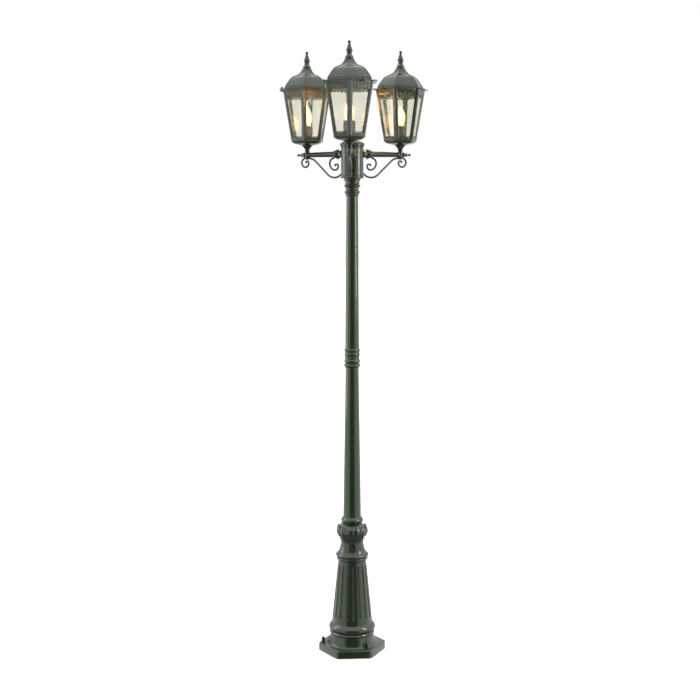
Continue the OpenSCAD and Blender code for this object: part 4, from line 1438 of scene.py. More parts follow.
@dataclass
class Arm:
    """One arm with its ruff, tip ball and scroll bracket.

    Attributes:
        side: Where the arm points.
        axis: Place of its lantern's axis, at the height of the arm.
        hub_r: Radius of the hub.
        hub_bore_r: Radius of the hub's bore.
        root_d: Diameter of the arm at the hub.
        tip_d: Diameter of the arm at its lantern.
        bore: Bore of the arm.
        boss_r: Radius of the boss under its lantern.
        boss_up: Height of the boss above the arm's axis.
        boss_down: Depth of the boss under the arm's axis.
        stem_d: Bore of the boss.
        tip_reach: Distance of the arm's end beyond its lantern.
        collar_l: Length of the collar at the hub.
        rod_d: Diameter of the scroll rods.
        rod_drop: Depth under the arm's axis at which the long rod meets the hub.
        rod_rise: Steepest rise of the long rod, in degrees.
        rod_dive: How steeply the long rod leaves the hub, in degrees.
        rod_gap: Gap between a rod and what it is welded to.
        boss_gap: Distance of the rods from the boss.
    """

    side: Side
    axis: Vector
    hub_r: float = 40.0
    hub_bore_r: float = 36.0
    root_d: float = 20.8
    tip_d: float = 16.4
    bore: float = 12.0
    boss_r: float = 8.5
    boss_up: float = 12.5
    boss_down: float = 11.5
    stem_d: float = 10.1
    tip_reach: float = 28.0
    collar_l: float = 37.0
    rod_d: float = 7.0
    rod_drop: float = 67.0
    rod_rise: float = 42.0
    rod_dive: float = 50.0
    rod_gap: float = 0.1
    boss_gap: float = 1.5

    def __post_init__(self) -> None:
        """Works out the arm's own frame: +X along it and Z = 0 on its axis."""
        self.turn = math.atan2(self.axis.y, self.axis.x)
        self.reach = self.axis.xy.length
        self.place = Matrix.Translation((0, 0, self.axis.z)) @ Matrix.Rotation(self.turn, 4, "Z")

    def along(self, x: float) -> Matrix:
        """Gives the frame whose Z runs out along the arm from the distance x."""
        return Matrix.Translation((x, 0, 0)) @ Matrix.Rotation(TAU / 4, 4, "Y")

    def bar(self) -> Piece:
        """Makes the tapered arm with the boss for its lantern."""
        r0, r1, hole = self.root_d / 2, self.tip_d / 2, self.bore / 2
        start = self.hub_bore_r - 2
        stop, again = self.reach - self.boss_r + 2.3, self.reach + self.boss_r - 2.3
        straight = self.hub_r + self.collar_l
        mould = Mould(self.place)
        outer = [(r0, start), (r0, straight), (r1 + 0.2, stop - 7), (r1 + 1.1, stop - 6),
                 (r1 + 1.1, stop - 4), (r1 + 0.2, stop - 3), (r1, stop)]
        line = hollow(eased(outer, 0.6), [(hole, start), (hole, stop)])
        mould.turn(line, 56, self.along(0), closed=True)
        tip = self.reach + self.tip_reach
        mould.turn(eased([(r1, again), (r1, again + 3), (r1 + 1, again + 4), (r1 + 1, again + 6),
                          (r1 - 0.3, again + 7), (r1 - 2, tip - 0.4), (r1 - 2.6, tip)], 0.6), 56,
                   self.along(0))
        b, up, down = self.boss_r, self.boss_up, -self.boss_down
        loop = [(b - 0.8, down), (b, down + 0.8), (b, up - 0.8), (b - 0.8, up),
                (self.stem_d / 2, up), (self.stem_d / 2, down)]
        mould.turn(eased(loop, 0.5, closed=True), 48, Matrix.Translation((self.reach, 0, 0)),
                   closed=True)
        return mould.cast(f"arm_bar_{self.side.value}")

    def ruff(self, mould: Mould) -> None:
        """Adds the collar at the hub, with its ring of pointed leaves.

        Args:
            mould: The mould that takes it.
        """
        r = self.root_d / 2
        outer = cove(r + 6.5, 0.0, r + 2.5, 11, 0.5, 10)
        outer += [(r + 2.5, 16), (r + 4, 20), (r + 6.2, 24.5), (r + 4, 28.5)]
        outer += bead(r + 2.4, 29, r + 1.2, self.collar_l, 1.6, 10)
        inner = [(r - 1, 0.0), (r - 1, self.collar_l)]
        frame = self.place @ self.along(self.hub_r)
        mould.turn(hollow(eased(outer, 0.8), inner), 56, frame, closed=True)
        for k in range(8):
            leaf = frame @ Matrix.Rotation(TAU * k / 8, 4, "Z")
            rings = []
            for i in range(7):
                v = i / 6
                q, z = r + 2.2 + 7.6 * v, 16.0 + 8.0 * v - 3.0 * v * v + 2.0 * v**5
                half = 4.4 * max(0.06, (1 - v) ** 0.75)
                face = [(-1.0, 0.0), (-0.5, 0.7), (0.0, 1.3), (0.5, 0.7), (1.0, 0.0)]
                back = [(1.0, -1.2), (0.0, -0.5), (-1.0, -1.2)]
                rings.append([Vector((q, u * half, z + t)) for u, t in face + back])
            mould.skin(rings, leaf)

    def tip(self, mould: Mould) -> None:
        """Adds the ring, neck and ball on the arm's end.

        Args:
            mould: The mould that takes it.
        """
        line = eased([(4.7, 0.0), (4.7, 1.8), (2.7, 2.6), (2.6, 6.2)], 0.5)
        end = self.along(self.reach + self.tip_reach)
        mould.turn(line + dome(5.0, 11, -58, 88, 16), 36, self.place @ end)

    def scroll(self, mould: Mould, start: tuple[float, float], heading: float,
               steps: Sequence[tuple[float, float]], curl: bool) -> None:
        """Adds one bent rod in the plane of the arm.

        Args:
            mould: The mould that takes it.
            start: Distance from the post's axis and height of the rod's first point.
            heading: Its first direction, in degrees.
            steps: Its arcs and straight runs.
            curl: Whether it ends in a rolled ball.
        """
        first = Vector(start)
        angle = radians(heading)
        second = first + Vector((cos(angle), sin(angle)))
        flat = [first, second] + bent(steps, second, heading)
        route = [Vector((p.x, 0.0, p.y)) for p in flat]
        last = len(route) - 1
        sizes = [self.rod_d / 2 * (1.0 - 0.16 * (i / last) ** 3 if curl else 1.0)
                 for i in range(last + 1)]
        mould.rod(route, sizes)
        if curl:
            mould.ball(route[-1], self.rod_d / 2 + 0.9)

    def bracket(self) -> Piece:
        """Makes the scroll bracket: the long rod, the curl at its end and the C-shaped scroll."""
        rise, dive = radians(self.rod_rise), radians(self.rod_dive)
        half, beside = self.rod_d / 2, self.boss_r + self.boss_gap
        x0, z0 = self.hub_r + half * sin(dive), -self.rod_drop
        x1, z1 = self.reach - beside, -self.tip_d / 2 - half - self.rod_gap
        low_r = 0.3 * (x1 - x0)
        rise_x = x0 + low_r * (sin(dive) + sin(rise))
        rise_z = z0 + low_r * (cos(dive) - cos(rise))
        crest_r = (x1 - rise_x - (z1 - rise_z) / math.tan(rise)) / math.tan(rise / 2)
        run = (z1 - crest_r * (1 - cos(rise)) - rise_z) / sin(rise)
        long_rod = [(low_r, self.rod_dive + self.rod_rise), (0, run), (crest_r, -self.rod_rise)]
        tip_curl = [(16, -165), (15, -100), (6, -150)]
        root_curl = [(18, -90), (24, -90), (13, -95), (7, -140)]
        root = (self.hub_r + self.collar_l + 1, -self.root_d / 2 - half - self.rod_gap)
        mould = Mould(self.place)
        self.scroll(mould, (x0, z0), -self.rod_dive, long_rod, False)
        self.scroll(mould, (self.reach + beside, z1), -10.0, tip_curl, True)
        self.scroll(mould, root, 0.0, root_curl, True)
        return mould.cast(f"scroll_bracket_{self.side.value}")

    def build(self) -> None:
        """Builds and fits the arm and its bracket."""
        fitted(self.bar(), CAST_PAINT, "post", f"arm_{self.side.value}")
        fitted(self.bracket(), CAST_PAINT, "post", f"bracket_{self.side.value}")


# ---- lanterns ----


@dataclass
class Lantern:
    """One lantern with its lamp and roof.

    Attributes:
        side: The arm that carries it.
        axis: Place of its axis, at the height of the arm.
        turn: Angle of one of its corners round its axis, in radians.
        foot_r: Corner radius of the cage at its foot.
        head_r: Corner radius of the cage at the eave.
        cup_r: Radius of the stem's cup under the bowl.
        rib_leg: Width of one leg of a corner rib.
        strip_t: Thickness of the ribs, gallery and valance.
        pane_t: Thickness of a pane.
        gallery_h: Height of the gallery.
        valance_h: Depth of the valance.
        eave_r: Corner radius of the eave.
        stud_r: Distance of the roof's studs from the axis.
        ear_r: Radius of the eave's ears round the studs.
        eave_t: Thickness of the eave.
        roof_r: Corner radius of the roof where it meets the eave.
        roof_wall: Wall of the roof.
        watts: Power of the light in its lamp.
        warmth: Colour of that light.
        roof_line: Corner radius of the roof against its height, both as shares.
    """

    side: Side
    axis: Vector
    turn: float
    eave_r: float
    stud_r: float
    foot_r: float = 61.0
    head_r: float = 92.0
    cup_r: float = 21.0
    rib_leg: float = 10.0
    strip_t: float = 2.0
    pane_t: float = 3.0
    gallery_h: float = 14.0
    valance_h: float = 27.0
    ear_r: float = 8.5
    eave_t: float = 3.0
    roof_r: float = 86.0
    roof_wall: float = 3.0
    watts: float = 11.0
    warmth: tuple[float, float, float] = (1.0, 0.42, 0.12)
    roof_line: list[tuple[float, float]] = field(default_factory=lambda: [
        (0, 1), (0.12, 0.975), (0.22, 0.925), (0.32, 0.865), (0.42, 0.8), (0.52, 0.725),
        (0.6, 0.64), (0.65, 0.54), (0.7, 0.43), (0.78, 0.33), (0.88, 0.255), (1, 0.2)])

    def __post_init__(self) -> None:
        """Reads the lantern's heights from the frame and works out its own frame."""
        name = self.name = self.side.value
        self.body, self.lamp_body, self.roof_body = (
            f"lantern_{name}", f"lamp_{name}", f"roof_{name}")
        self.place = (Matrix.Translation((self.axis.x, self.axis.y, 0))
                      @ Matrix.Rotation(self.turn, 4, "Z"))
        self.cup_z = low(f"bowl_{name}")
        self.rim_z, self.eave_z = low(f"ribs_{name}"), low(f"roof_{name}")
        self.top_z = high(f"roof_{name}")
        self.seat_z = low(f"lampholder_{name}")
        self.holder_z = high(f"lampholder_{name}")
        self.cage_h = self.eave_z - self.rim_z
        self.tilt = math.atan((self.head_r - self.foot_r) * COS30 / self.cage_h)
        self.face_l = self.cage_h / cos(self.tilt)

    def half_face(self, up: float) -> float:
        """Gives half the width of a cage face at a distance up its slope."""
        return (self.foot_r + (self.head_r - self.foot_r) * up / self.face_l) / 2

    def on_face(self, number: int, depth: float) -> Matrix:
        """Gives the frame of a cage face, for flat plates.

        Args:
            number: The face, counted round the lantern.
            depth: Distance of the frame behind the face.

        Returns:
            The frame with X along the face, Y up its slope and Z out of it.
        """
        turned = Matrix(((0, 0, 1, 0), (1, 0, 0, 0), (0, 1, 0, 0), (0, 0, 0, 1)))
        return (Matrix.Rotation(radians(30 + 60 * number), 4, "Z")
                @ Matrix.Translation((self.foot_r * COS30, 0, self.rim_z))
                @ Matrix.Rotation(self.tilt, 4, "Y")
                @ Matrix.Translation((-depth, 0, 0)) @ turned)

    def at_studs(self, z: float) -> list[Matrix]:
        """Gives the frames of the roof's two studs at a height."""
        return [Matrix.Rotation(s * TAU / 4, 4, "Z") @ Matrix.Translation((self.stud_r, 0, z))
                for s in (-1, 1)]

    def stem(self) -> Piece:
        """Makes the threaded stem with its bell under the bowl."""
        neck = self.axis.z + 12.8
        mould = Mould(self.place)
        bell = [(5.0, neck), (8.2, neck), (9.6, neck + 1.6), (8.6, neck + 3.6), (7.6, neck + 4.4)]
        line = eased(bell, 0.6) + cove(8.0, neck + 5.2, self.cup_r, self.cup_z, 1.35, 20)
        mould.turn(line + [(5.0, self.cup_z)], 56)
        foot, top = low(f"stem_{self.name}"), high(f"stem_{self.name}")
        thread: Outline = []
        pitch, z = 1.0, foot + 0.6
        while z < foot + 6.0:
            thread += [(4.55, z), (4.95, z + pitch / 2)]
            z += pitch
        mould.turn(hollow([(4.3, foot)] + thread + [(5.0, z), (5.0, top)],
                          [(3.5, foot), (3.5, top)]), 36, closed=True)
        return mould.cast(f"lantern_stem_{self.name}")

    def stem_nut(self) -> Piece:
        """Makes the six-sided nut under the arm, with chamfered corners."""
        node = f"stem_nut_{self.name}"
        z0, z1, r = low(node), high(node), 14.0 / 2 / COS30
        loop = [(5.1, z0 + 0.4), (5.6, z0), (r - 0.9, z0), (r, z0 + 0.7), (r, z1 - 0.7),
                (r - 0.9, z1), (5.6, z1), (5.1, z1 - 0.4)]
        mould = Mould(self.place)
        rings = []
        for q, z in loop:
            ring = hex_ring(q, z, 0.8)
            if q < 6.0:
                ring = [Vector((p.x * q / p.xy.length, p.y * q / p.xy.length, z)) for p in ring]
            rings.append(ring)
        mould.skin(rings, closed=True)
        return mould.cast(node.replace("stem_nut", "jam_nut"))

    def gallery_loops(self) -> list[Outline]:
        """Gives the gallery strip of one face: a band with four pierced lobes."""
        half = self.half_face(0) - self.rib_leg
        lobe = half / 4
        rise = lobe * 1.5
        band = self.gallery_h - rise
        outer: Outline = [(-half, -1.5), (half, -1.5), (half, band)]
        holes = []
        for k in (1.5, 0.5, -0.5, -1.5):
            x = 2 * k * lobe
            arc = [radians(180 * s / 12) for s in range(1, 12)]
            outer += [(x + lobe * 0.92 * cos(a), band + rise * sin(a)) for a in arc]
            outer.append((x - lobe, band))
            holes.append(ring_loop(x, band + lobe * 0.35, lobe * 0.26, 16))
            if k > -1.5:
                holes.append(ring_loop(x - lobe, band - lobe * 0.8, lobe * 0.16, 10))
        return [outer] + holes

    def bowl(self) -> Piece:
        """Makes the six-sided bowl with the gallery on its rim."""
        rim, z0, z1 = self.foot_r + 1.5, self.cup_z, self.rim_z
        h = z1 - z0
        outer = ([(self.cup_r, z0)]
                 + cove(self.cup_r + 2, z0 + 0.4, rim - 12, z0 + h * 0.34, 0.8, 5)
                 + cove(rim - 12, z0 + h * 0.35, rim - 3.0, z0 + h * 0.68, 0.7, 6)
                 + [(rim - 0.6, z0 + h * 0.70), (rim, z0 + h * 0.76), (rim, z1 - 0.8),
                    (rim - 0.8, z1)])
        inner = [(5.1, z0), (5.1, self.seat_z), (rim - 14, self.seat_z), (rim - 11, z1 - 0.3),
                 (rim - 10, z1)]
        mould = Mould(self.place)
        mould.hexed(eased(hollow(outer, inner), 0.5, closed=True), 3.0, closed=True)
        for j in range(6):
            mould.pierced(self.gallery_loops(), self.strip_t, 0.35,
                          self.on_face(j, self.strip_t / 2))
        return mould.cast(f"lantern_bowl_{self.name}")

    def ribs(self) -> Piece:
        """Makes the six angled corner ribs, each with a rolled bead on its corner."""
        mould = Mould(self.place)
        t, leg = self.strip_t, self.rib_leg
        for j in range(6):
            corner = TAU * j / 6
            out = Vector((cos(corner), sin(corner), 0))
            legs = [Vector((cos(corner + s), sin(corner + s), 0))
                    for s in (TAU / 3, -TAU / 3)]
            rings, spine = [], []
            for k in range(13):
                v = k / 12
                tip = out * (self.foot_r + (self.head_r - self.foot_r) * v)
                tip.z = self.rim_z + self.cage_h * v
                inset = [Vector((cos(corner + s), sin(corner + s), 0)) * t
                         for s in (-TAU * 5 / 12, TAU * 5 / 12)]
                a, b = tip + legs[0] * leg, tip + legs[1] * leg
                rings.append([
                    a, tip + legs[0] * (leg - 0.8) + out * 0.25,
                    tip + legs[0] * 1.2 + out * 0.3, tip, tip + legs[1] * 1.2 + out * 0.3,
                    tip + legs[1] * (leg - 0.8) + out * 0.25, b,
                    b + inset[0], tip - out * t / COS30, a + inset[1]])
                spine.append(tip - out * 1.3)
            mould.skin(rings)
            mould.rod(spine, 1.9, 12)
        return mould.cast(f"corner_ribs_{self.name}")

    def panes(self) -> Piece:
        """Makes the six wavy panes."""
        mould = Mould(self.place)
        gap, foot, head = self.strip_t + self.pane_t, 0.1, self.face_l - self.strip_t
        for j in range(6):
            rings = []
            for k in range(19):
                w = foot + (head - foot) * k / 18
                half = self.half_face(w) - gap
                line = [half * (-1 + 2 * n / 8) for n in range(9)]
                wave = [0.16 * sin(0.11 * x + 1.7 * j) * sin(0.055 * w + j)
                        for x in line]
                face = [Vector((x, w, q)) for x, q in zip(line, wave)]
                back = [Vector((x, w, q - self.pane_t)) for x, q in zip(line, wave)]
                rings.append(face + back[::-1])
            mould.skin(rings, self.on_face(j, self.strip_t + 0.3))
        return mould.cast(f"panes_glazed_{self.name}")

    def valance_loops(self) -> list[Outline]:
        """Gives the valance of one face: five hanging lobes under a pierced band."""
        top, lobes = self.face_l - 1.0, 5
        half = self.half_face(self.face_l - self.valance_h) - self.rib_leg
        lobe = half / lobes
        drop, wide = lobe * 2.0, lobe * 0.9
        line = top - self.valance_h + drop
        outer: Outline = [(self.rib_leg - self.half_face(top), top),
                          (self.half_face(top) - self.rib_leg, top), (half, line)]
        holes = []
        for n in range(lobes):
            x = half - lobe * (2 * n + 1)
            arc = [radians(-180 * s / 14) for s in range(15)]
            outer += [(x + wide * cos(a), line + drop * sin(a)) for a in arc]
            outer.append((x - lobe, line))
            holes.append(ring_loop(x, line - lobe * 0.7, lobe * 0.24, 12))
            if n:
                holes.append(ring_loop(x + lobe, line + lobe * 0.62, lobe * 0.2, 12))
            for lean in (-1, 1):
                holes.append(drop_loop(x + lean * lobe * 0.5, line + lobe * 1.1, lobe * 0.22,
                                       lobe * 0.7, 90 - lean * 62))
        return [outer] + holes

    def valance(self) -> Piece:
        """Makes the pierced valance with its rolled lower edge and the roof's two studs."""
        mould = Mould(self.place)
        loops = self.valance_loops()
        for j in range(6):
            mould.pierced(loops, self.strip_t, 0.35, self.on_face(j, self.strip_t / 2))
            face = self.on_face(j, self.strip_t / 2 - 0.3)
            edge = [Vector((x, y, 0)) for x, y in loops[0][2:-1]]
            mould.rod(edge, 1.1, 8, face)
        for s in (-1, 1):
            side = Matrix.Rotation(s * TAU / 4, 4, "Z")
            x0, x1 = self.head_r * COS30 - 2, self.stud_r + 5
            lug = [[Vector((x, y, self.eave_z - h)) for x, y in
                    ((x0, -6), (x1 - 2, -6), (x1, -4), (x1, 4), (x1 - 2, 6), (x0, 6))]
                   for h in (3.0, 0.1)]
            mould.skin(lug, side)
        stud = [(2.0, self.eave_z - 1), (2.0, self.eave_z + 10.2), (1.5, self.eave_z + 11)]
        for place in self.at_studs(0.0):
            mould.turn(stud, 20, place)
        return mould.cast(f"pierced_valance_{self.name}")

    def lampholder(self) -> Piece:
        """Makes the black lampholder with its grip ribs and socket."""
        z, top, r = self.seat_z, self.holder_z, 20.0

        def grip(angle: float, radius: float, height: float) -> tuple[float, float, float]:
            """Cuts shallow grip ribs into the shade ring."""
            ribbed = radius > r - 0.3 and top - 26 < height < top - 4
            wave = 0.5 + 0.5 * cos(angle * 36)
            return angle, radius - (0.7 * wave if ribbed else 0.0), height

        outer = [(r - 3, z), (r - 3, z + 6), (r - 1, z + 8), (r - 1, top - 32), (r, top - 29),
                 (r, top - 25), (r, top - 5), (r, top - 3), (r - 2, top)]
        inner = [(5.1, z), (5.1, z + 7.5), (12.0, z + 8), (12.0, top - 27.5), (13.6, top - 27),
                 (13.6, top)]
        mould = Mould(self.place)
        mould.turn(eased(hollow(outer, inner), 0.6, closed=True), 144, closed=True, remap=grip)
        return mould.cast(f"shade_ring_holder_{self.name}")

    def screw_cap(self) -> Piece:
        """Makes the lamp's rolled screw cap with its contact."""
        z, r, pitch = self.holder_z, 13.2, 3.6

        def thread(angle: float, radius: float, height: float) -> tuple[float, float, float]:
            """Rolls the thread into the cap."""
            if radius < r - 1.0 or not z - 19.5 < height < z - 2.0:
                return angle, radius, height
            wave = 0.5 + 0.5 * cos(TAU * (height / pitch) - angle)
            return angle, radius - 1.1 * wave, height

        line = [(4.5, z - 26), (4.5, z - 24), (r - 3, z - 23), (r - 0.2, z - 19.8)]
        line = eased(line, 0.5) + [(r, z - 19.2 + 0.45 * k) for k in range(40)] + [(r, z)]
        mould = Mould(self.place)
        mould.turn(line, 60, remap=thread)
        return mould.cast(f"screw_cap_{self.name}")

    def bulb_line(self, inset: float) -> Outline:
        """Gives the outline of the candle-shaped glass, smaller all round by inset."""
        z, h, r, neck = self.holder_z, 74.0, 17.5, 12.6
        line = [(neck + (r - neck) * (1 - cos(math.pi * k / 14)) / 2 - inset,
                 z + 0.38 * h * k / 14) for k in range(15)]
        for k in range(1, 24):
            t = k / 24
            line.append((max(0.3, r * cos(math.pi / 2 * t**1.15) - inset),
                         z + h * (0.38 + 0.62 * t) - inset * t))
        return line + [(0.25, z + h - inset)]

    def bulb(self) -> Piece:
        """Makes the lamp's thin glass."""
        inner = [(r, max(z, self.holder_z + 1.0)) for r, z in self.bulb_line(1.2)]
        mould = Mould(self.place)
        mould.turn(hollow(self.bulb_line(0.0), inner), 56, closed=True)
        return mould.cast(f"candle_glass_{self.name}")

    def core(self) -> Piece:
        """Makes the burning core inside the lamp's glass."""
        start = self.holder_z + 9.0
        line = [(max(0.3, r * 0.6), z) for r, z in self.bulb_line(2.6) if z > start]
        mould = Mould(self.place)
        mould.turn([(line[0][0] * 0.6, start - 2)] + line, 40)
        return mould.cast(f"burning_core_{self.name}")

    def roof(self) -> Piece:
        """Makes the hollow roof with its ridges and its flat eave."""
        base, rise = self.eave_z + self.eave_t, self.top_z - self.eave_z - self.eave_t
        line = smoothed([(r * self.roof_r, base + rise * z) for z, r in self.roof_line])
        under = [(r - self.roof_wall, z - self.roof_wall * 0.6) for r, z in line[4:-4]]
        edge = self.eave_r
        eave = eased([(edge - 1.2, self.eave_z), (edge, self.eave_z + 1.0),
                      (edge, self.eave_z + 2.4), (edge - 1.2, base), (edge - 4, base - 0.2),
                      (self.roof_r + 5, base), (self.roof_r + 1.5, base + 0.8)], 0.6)
        inner = [(self.roof_r - self.roof_wall, self.eave_z)] + under
        mould = Mould(self.place)
        mould.hexed(hollow(eave + line[1:], inner), 2.4, closed=True)
        for k in range(6):
            a = TAU * k / 6
            out = Vector((cos(a), sin(a), 0))
            ridge = [out * (r - 0.9) + Vector((0, 0, z)) for r, z in line[1:]]
            mould.rod(ridge, [2.1 - 0.7 * i / len(ridge) for i in range(len(ridge))], 10)
            foot = [out * (edge - 2.0 - s) + Vector((0, 0, base)) for s in (0.0, 2.0, 18.0)]
            mould.rod(foot, [0.8, 1.5, 1.9], 8)
        q, t = self.ear_r, self.eave_t
        ear = eased([(q - 0.6, 0.05), (q, 0.6), (q, t - 0.6), (q - 0.6, t + 0.15),
                     (q - 2.5, t + 0.4)], 0.4)
        for place in self.at_studs(self.eave_z):
            mould.turn(ear, 40, place)
        return mould.cast(f"lantern_roof_{self.name}")

    def finial(self) -> Piece:
        """Makes the turned finial."""
        z, tip = low(f"finial_{self.name}"), high(f"finial_{self.name}")
        s = (tip - z) / 63
        line = ([(16.3, z)] + bead(14, z + 1, 12.5, z + 11 * s, 1.5, 10)
                + cove(11.5, z + 12 * s, 8.5, z + 20 * s, 0.5, 10)
                + eased([(8.4, z + 20.5 * s), (9.3, z + 21.5 * s), (9.0, z + 22.8 * s)], 0.4)
                + bead(9, z + 23 * s, 10.5, z + 33 * s, 1.2, 10)
                + eased([(10.5, z + 33.5 * s), (9.2, z + 35.0 * s), (6.2, z + 44 * s),
                         (4.6, z + 49 * s), (5.0, z + 50 * s), (3.4, z + 52 * s)], 0.7)
                + dome(5.5, tip - 5.5, -60, 88, 16))
        mould = Mould(self.place)
        mould.turn(line, 56)
        return mould.cast(f"turned_finial_{self.name}")

    def dome_nuts(self) -> Piece:
        """Makes the two dome nuts that hold the roof down."""
        r = NUT_R
        bore = [(2.6, 0.0), (2.6, 8.6), (0.4, 9.0)]
        outer = eased([(r, 0.0), (r, 0.9), (r - 0.4, 1.3), (r - 0.4, 6.6)], 0.3)
        outer += dome(r - 0.6, 7.0, 5, 88, 9)
        mould = Mould(self.place)
        for place in self.at_studs(self.eave_z + self.eave_t):
            mould.turn(bore[::-1] + outer, 36, place)
        return mould.cast(f"dome_nuts_{self.name}")

    def light(self) -> None:
        """Puts a warm light inside the lamp."""
        lamp = bpy.data.lights.new(f"lamp_light_{self.name}", "POINT")
        lamp.energy, lamp.color, lamp.shadow_soft_size = self.watts, self.warmth, 0.014
        holder = placed(lamp.name, lamp)
        holder.location = Vector((self.axis.x, self.axis.y, self.holder_z + 40.0)) * MM
        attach(holder, self.lamp_body)

    def build(self) -> None:
        """Builds and fits the lantern, its lamp and its roof."""
        parts = (
            (self.stem, CAST_PAINT, self.body, "stem"),
            (self.stem_nut, CAST_PAINT, self.body, "stem_nut"),
            (self.bowl, CAST_PAINT, self.body, "bowl"),
            (self.ribs, CAST_PAINT, self.body, "ribs"),
            (self.panes, PANE_GLASS, self.body, "panes"),
            (self.valance, CAST_PAINT, self.body, "valance"),
            (self.lampholder, BLACK_PLASTIC, self.body, "lampholder"),
            (self.screw_cap, LAMP_BRASS, self.lamp_body, "lamp_cap"),
            (self.bulb, LAMP_GLASS, self.lamp_body, "lamp_glass"),
            (self.core, LAMP_CORE, self.lamp_body, ""),
            (self.roof, CAST_PAINT, self.roof_body, "roof"),
            (self.finial, CAST_PAINT, self.roof_body, "finial"),
            (self.dome_nuts, CAST_PAINT, self.roof_body, "roof_nuts"))
        for make, finish, body, node in parts:
            fitted(make(), finish, body, *([f"{node}_{self.name}"] if node else []))
        self.light()


# ---- studio ----


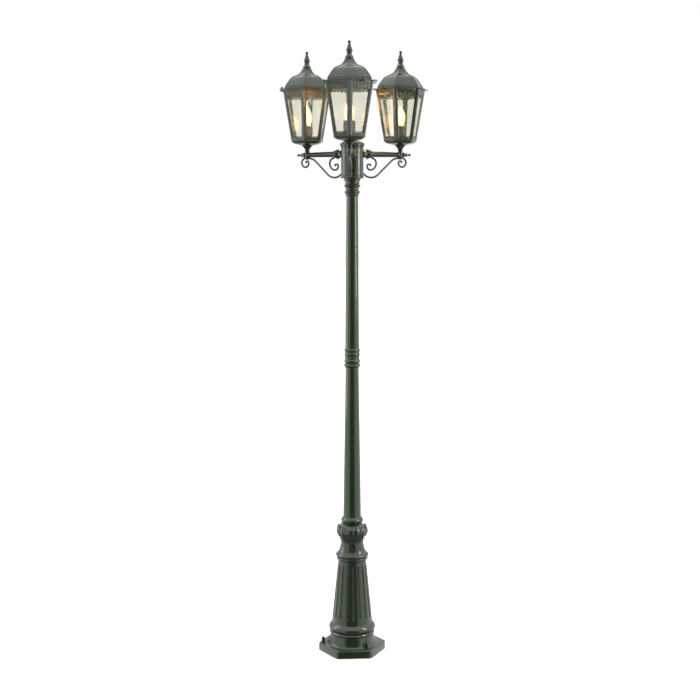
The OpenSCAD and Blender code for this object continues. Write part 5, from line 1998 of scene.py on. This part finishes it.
@dataclass
class Studio:
    """Camera, floor and soft lights.

    Attributes:
        distance: Distance of the camera from the post's axis, in metres.
        height: Height of the camera, in metres.
        heading: Angle of the camera round the post, in degrees.
        pitch: How far the camera looks down, in degrees.
        aside: How far the camera stands to its own left, in metres.
        lens: Focal length for a 36 mm sensor, in millimetres.
        sky: Brightness of the white surround as it is seen.
        sides: Brightness of the studio's side walls.
        front: Brightness of the gap that the camera looks through.
        back: Brightness of the studio's far wall.
        top: Brightness of the light overhead.
        under: Share of the walls' brightness that comes from below.
        front_band: Where the walls pass into the front gap, as a share of the way to the camera.
        back_band: Where the far wall passes into the walls, in the same way.
        top_band: Where the walls pass into the light overhead, as a share of the way up.
        under_band: Where the walls fade to their lower part, in the same way.
    """

    distance: float = 4.44913
    height: float = 1.63267
    heading: float = 4.0
    pitch: float = 6.527
    aside: float = 0.008
    lens: float = 63.33
    sky: float = 1.0
    sides: float = 1.35
    front: float = 0.16
    back: float = 0.8
    top: float = 1.75
    under: float = 0.25
    front_band: tuple[float, float] = (0.76, 0.86)
    back_band: tuple[float, float] = (-0.9, -0.4)
    top_band: tuple[float, float] = (0.4, 0.75)
    under_band: tuple[float, float] = (-0.65, -0.36)

    def camera(self) -> None:
        """Makes the scene's camera."""
        turn = radians(self.heading)
        data = bpy.data.cameras.new("studio_camera")
        data.lens, data.sensor_width = self.lens, 36.0
        camera = placed("studio_camera", data)
        camera.location = (-self.distance * sin(turn) - self.aside * cos(turn),
                           -self.distance * cos(turn) + self.aside * sin(turn),
                           self.height)
        camera.rotation_euler = (radians(90 - self.pitch), 0.0, -turn)
        bpy.context.scene.camera = camera

    def floor(self) -> None:
        """Makes the pale floor."""
        form = bmesh.new()
        bmesh.ops.create_grid(form, x_segments=8, y_segments=8, size=30.0)
        mesh = bpy.data.meshes.new("studio_floor")
        form.to_mesh(mesh)
        form.free()
        floor = placed("studio_floor", mesh)
        PALE_FLOOR.dress(floor)

    def softbox(self, name: str, azimuth: float, distance: float, height: float,
                size: tuple[float, float], power: float, aim: float = 1.1) -> None:
        """Makes one soft light that faces the post.

        Args:
            name: Its name.
            azimuth: Its angle to the right of the camera, seen from the post, in degrees.
            distance: Its distance from the post, in metres.
            height: Height of its middle, in metres.
            size: Its width and height, in metres.
            power: Its power in watts.
            aim: Height on the post that it faces, in metres.
        """
        light = bpy.data.lights.new(name, "AREA")
        light.shape, light.size, light.size_y, light.energy = "RECTANGLE", *size, power
        light.color = (1.0, 0.985, 0.96)
        holder = placed(name, light)
        angle = radians(-90.0 - self.heading + azimuth)
        holder.location = (distance * cos(angle), distance * sin(angle), height)
        way = Vector((0.0, 0.0, aim)) - holder.location
        holder.rotation_euler = way.to_track_quat("-Z", "Y").to_euler()

    def surround(self) -> None:
        """Makes the white surround: bright sides and top, with a dark gap at the front."""
        world = bpy.data.worlds.new("studio")
        world.use_nodes = True
        net = Net(world.node_tree)
        turn = radians(self.heading)
        way = net.add("TexCoord").outputs["Generated"]
        part = net.add("SeparateXYZ", {"Vector": way}).outputs
        front = net.math("ADD", net.math("MULTIPLY", part["X"], -sin(turn)),
                         net.math("MULTIPLY", part["Y"], -cos(turn)))
        near = net.ramp(front, *self.front_band, self.sides, self.front)
        far = net.ramp(front, *self.back_band, self.back, self.sides)
        wall = net.math("MINIMUM", near, far)
        lit = net.math("MULTIPLY", wall, net.ramp(part["Z"], *self.under_band, self.under, 1.0))
        room = net.between(net.ramp(part["Z"], *self.top_band), lit, self.top)
        level = net.between(seen(net), room, self.sky)
        shade = net.add("Background", {"Color": (1.0, 1.0, 1.0, 1.0), "Strength": level})
        out = net.add("OutputWorld")
        net.tree.links.new(shade.outputs["Background"], out.inputs["Surface"])
        bpy.context.scene.world = world
        bpy.context.scene.view_settings.view_transform = "Standard"

    def build(self) -> None:
        """Sets up the floor, the surround and the lights."""
        self.floor()
        self.surround()
        self.softbox("strip_softbox_right", 73.0, 2.6, 1.9, (0.30, 1.6), 28.0)
        self.softbox("broad_softbox_left", -98.0, 2.4, 1.5, (1.0, 2.0), 16.0)


# ---- build ----


def lantern_axis(frame: dict, side: Side) -> Vector:
    """Gives the point where a lantern turns on its arm, in millimetres.

    Args:
        frame: The loaded frame.
        side: The arm that carries the lantern.

    Returns:
        The point.
    """
    name = f"lantern_{side.value}_turn"
    joint = next(j for j in frame["joints"] if j["name"] == name)
    return Vector(joint["pos_m"]) / MM


def farthest(frame: dict, node: str, axis: Vector) -> Vector:
    """Finds the point of a CAD node that is farthest from an axis.

    Args:
        frame: The loaded frame.
        node: Name of the node.
        axis: A point on the upright axis, in millimetres.

    Returns:
        The point in plan, measured from the axis, in millimetres.
    """
    points = frame["nodes"][node].data.vertices
    return max((v.co.xy / MM - axis.xy for v in points), key=lambda p: p.length)


def lantern(frame: dict, side: Side, axis: Vector) -> Lantern:
    """Sets out a lantern by the corners of its CAD roof and nuts.

    Args:
        frame: The loaded frame.
        side: The arm that carries the lantern.
        axis: The lantern's axis, in millimetres.

    Returns:
        The lantern.
    """
    corner = farthest(frame, f"roof_{side.value}", axis)
    nut = farthest(frame, f"roof_nuts_{side.value}", axis)
    return Lantern(side, axis, math.atan2(corner.y, corner.x), corner.length, nut.length - NUT_R)


def main() -> None:
    """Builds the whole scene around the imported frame."""
    logging.basicConfig(level=logging.INFO, format="%(message)s")
    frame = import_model()
    studio = Studio()
    studio.camera()
    Base().build()
    Pole().build()
    axes = {side: lantern_axis(frame, side) for side in Side}
    arms = [Arm(side, axes[side]) for side in Side]
    Hub().build(frame, arms)
    ruffs, tips = Mould(), Mould()
    for arm in arms:
        arm.build()
        arm.ruff(ruffs)
        arm.tip(tips)
    fitted(ruffs.cast("leaf_ruffs"), CAST_PAINT, "post", "arm_collars")
    fitted(tips.cast("arm_tip_balls"), CAST_PAINT, "post", "arm_end_balls")
    for side in Side:
        lantern(frame, side, axes[side]).build()
    studio.build()


if __name__ == "__main__":
    main()
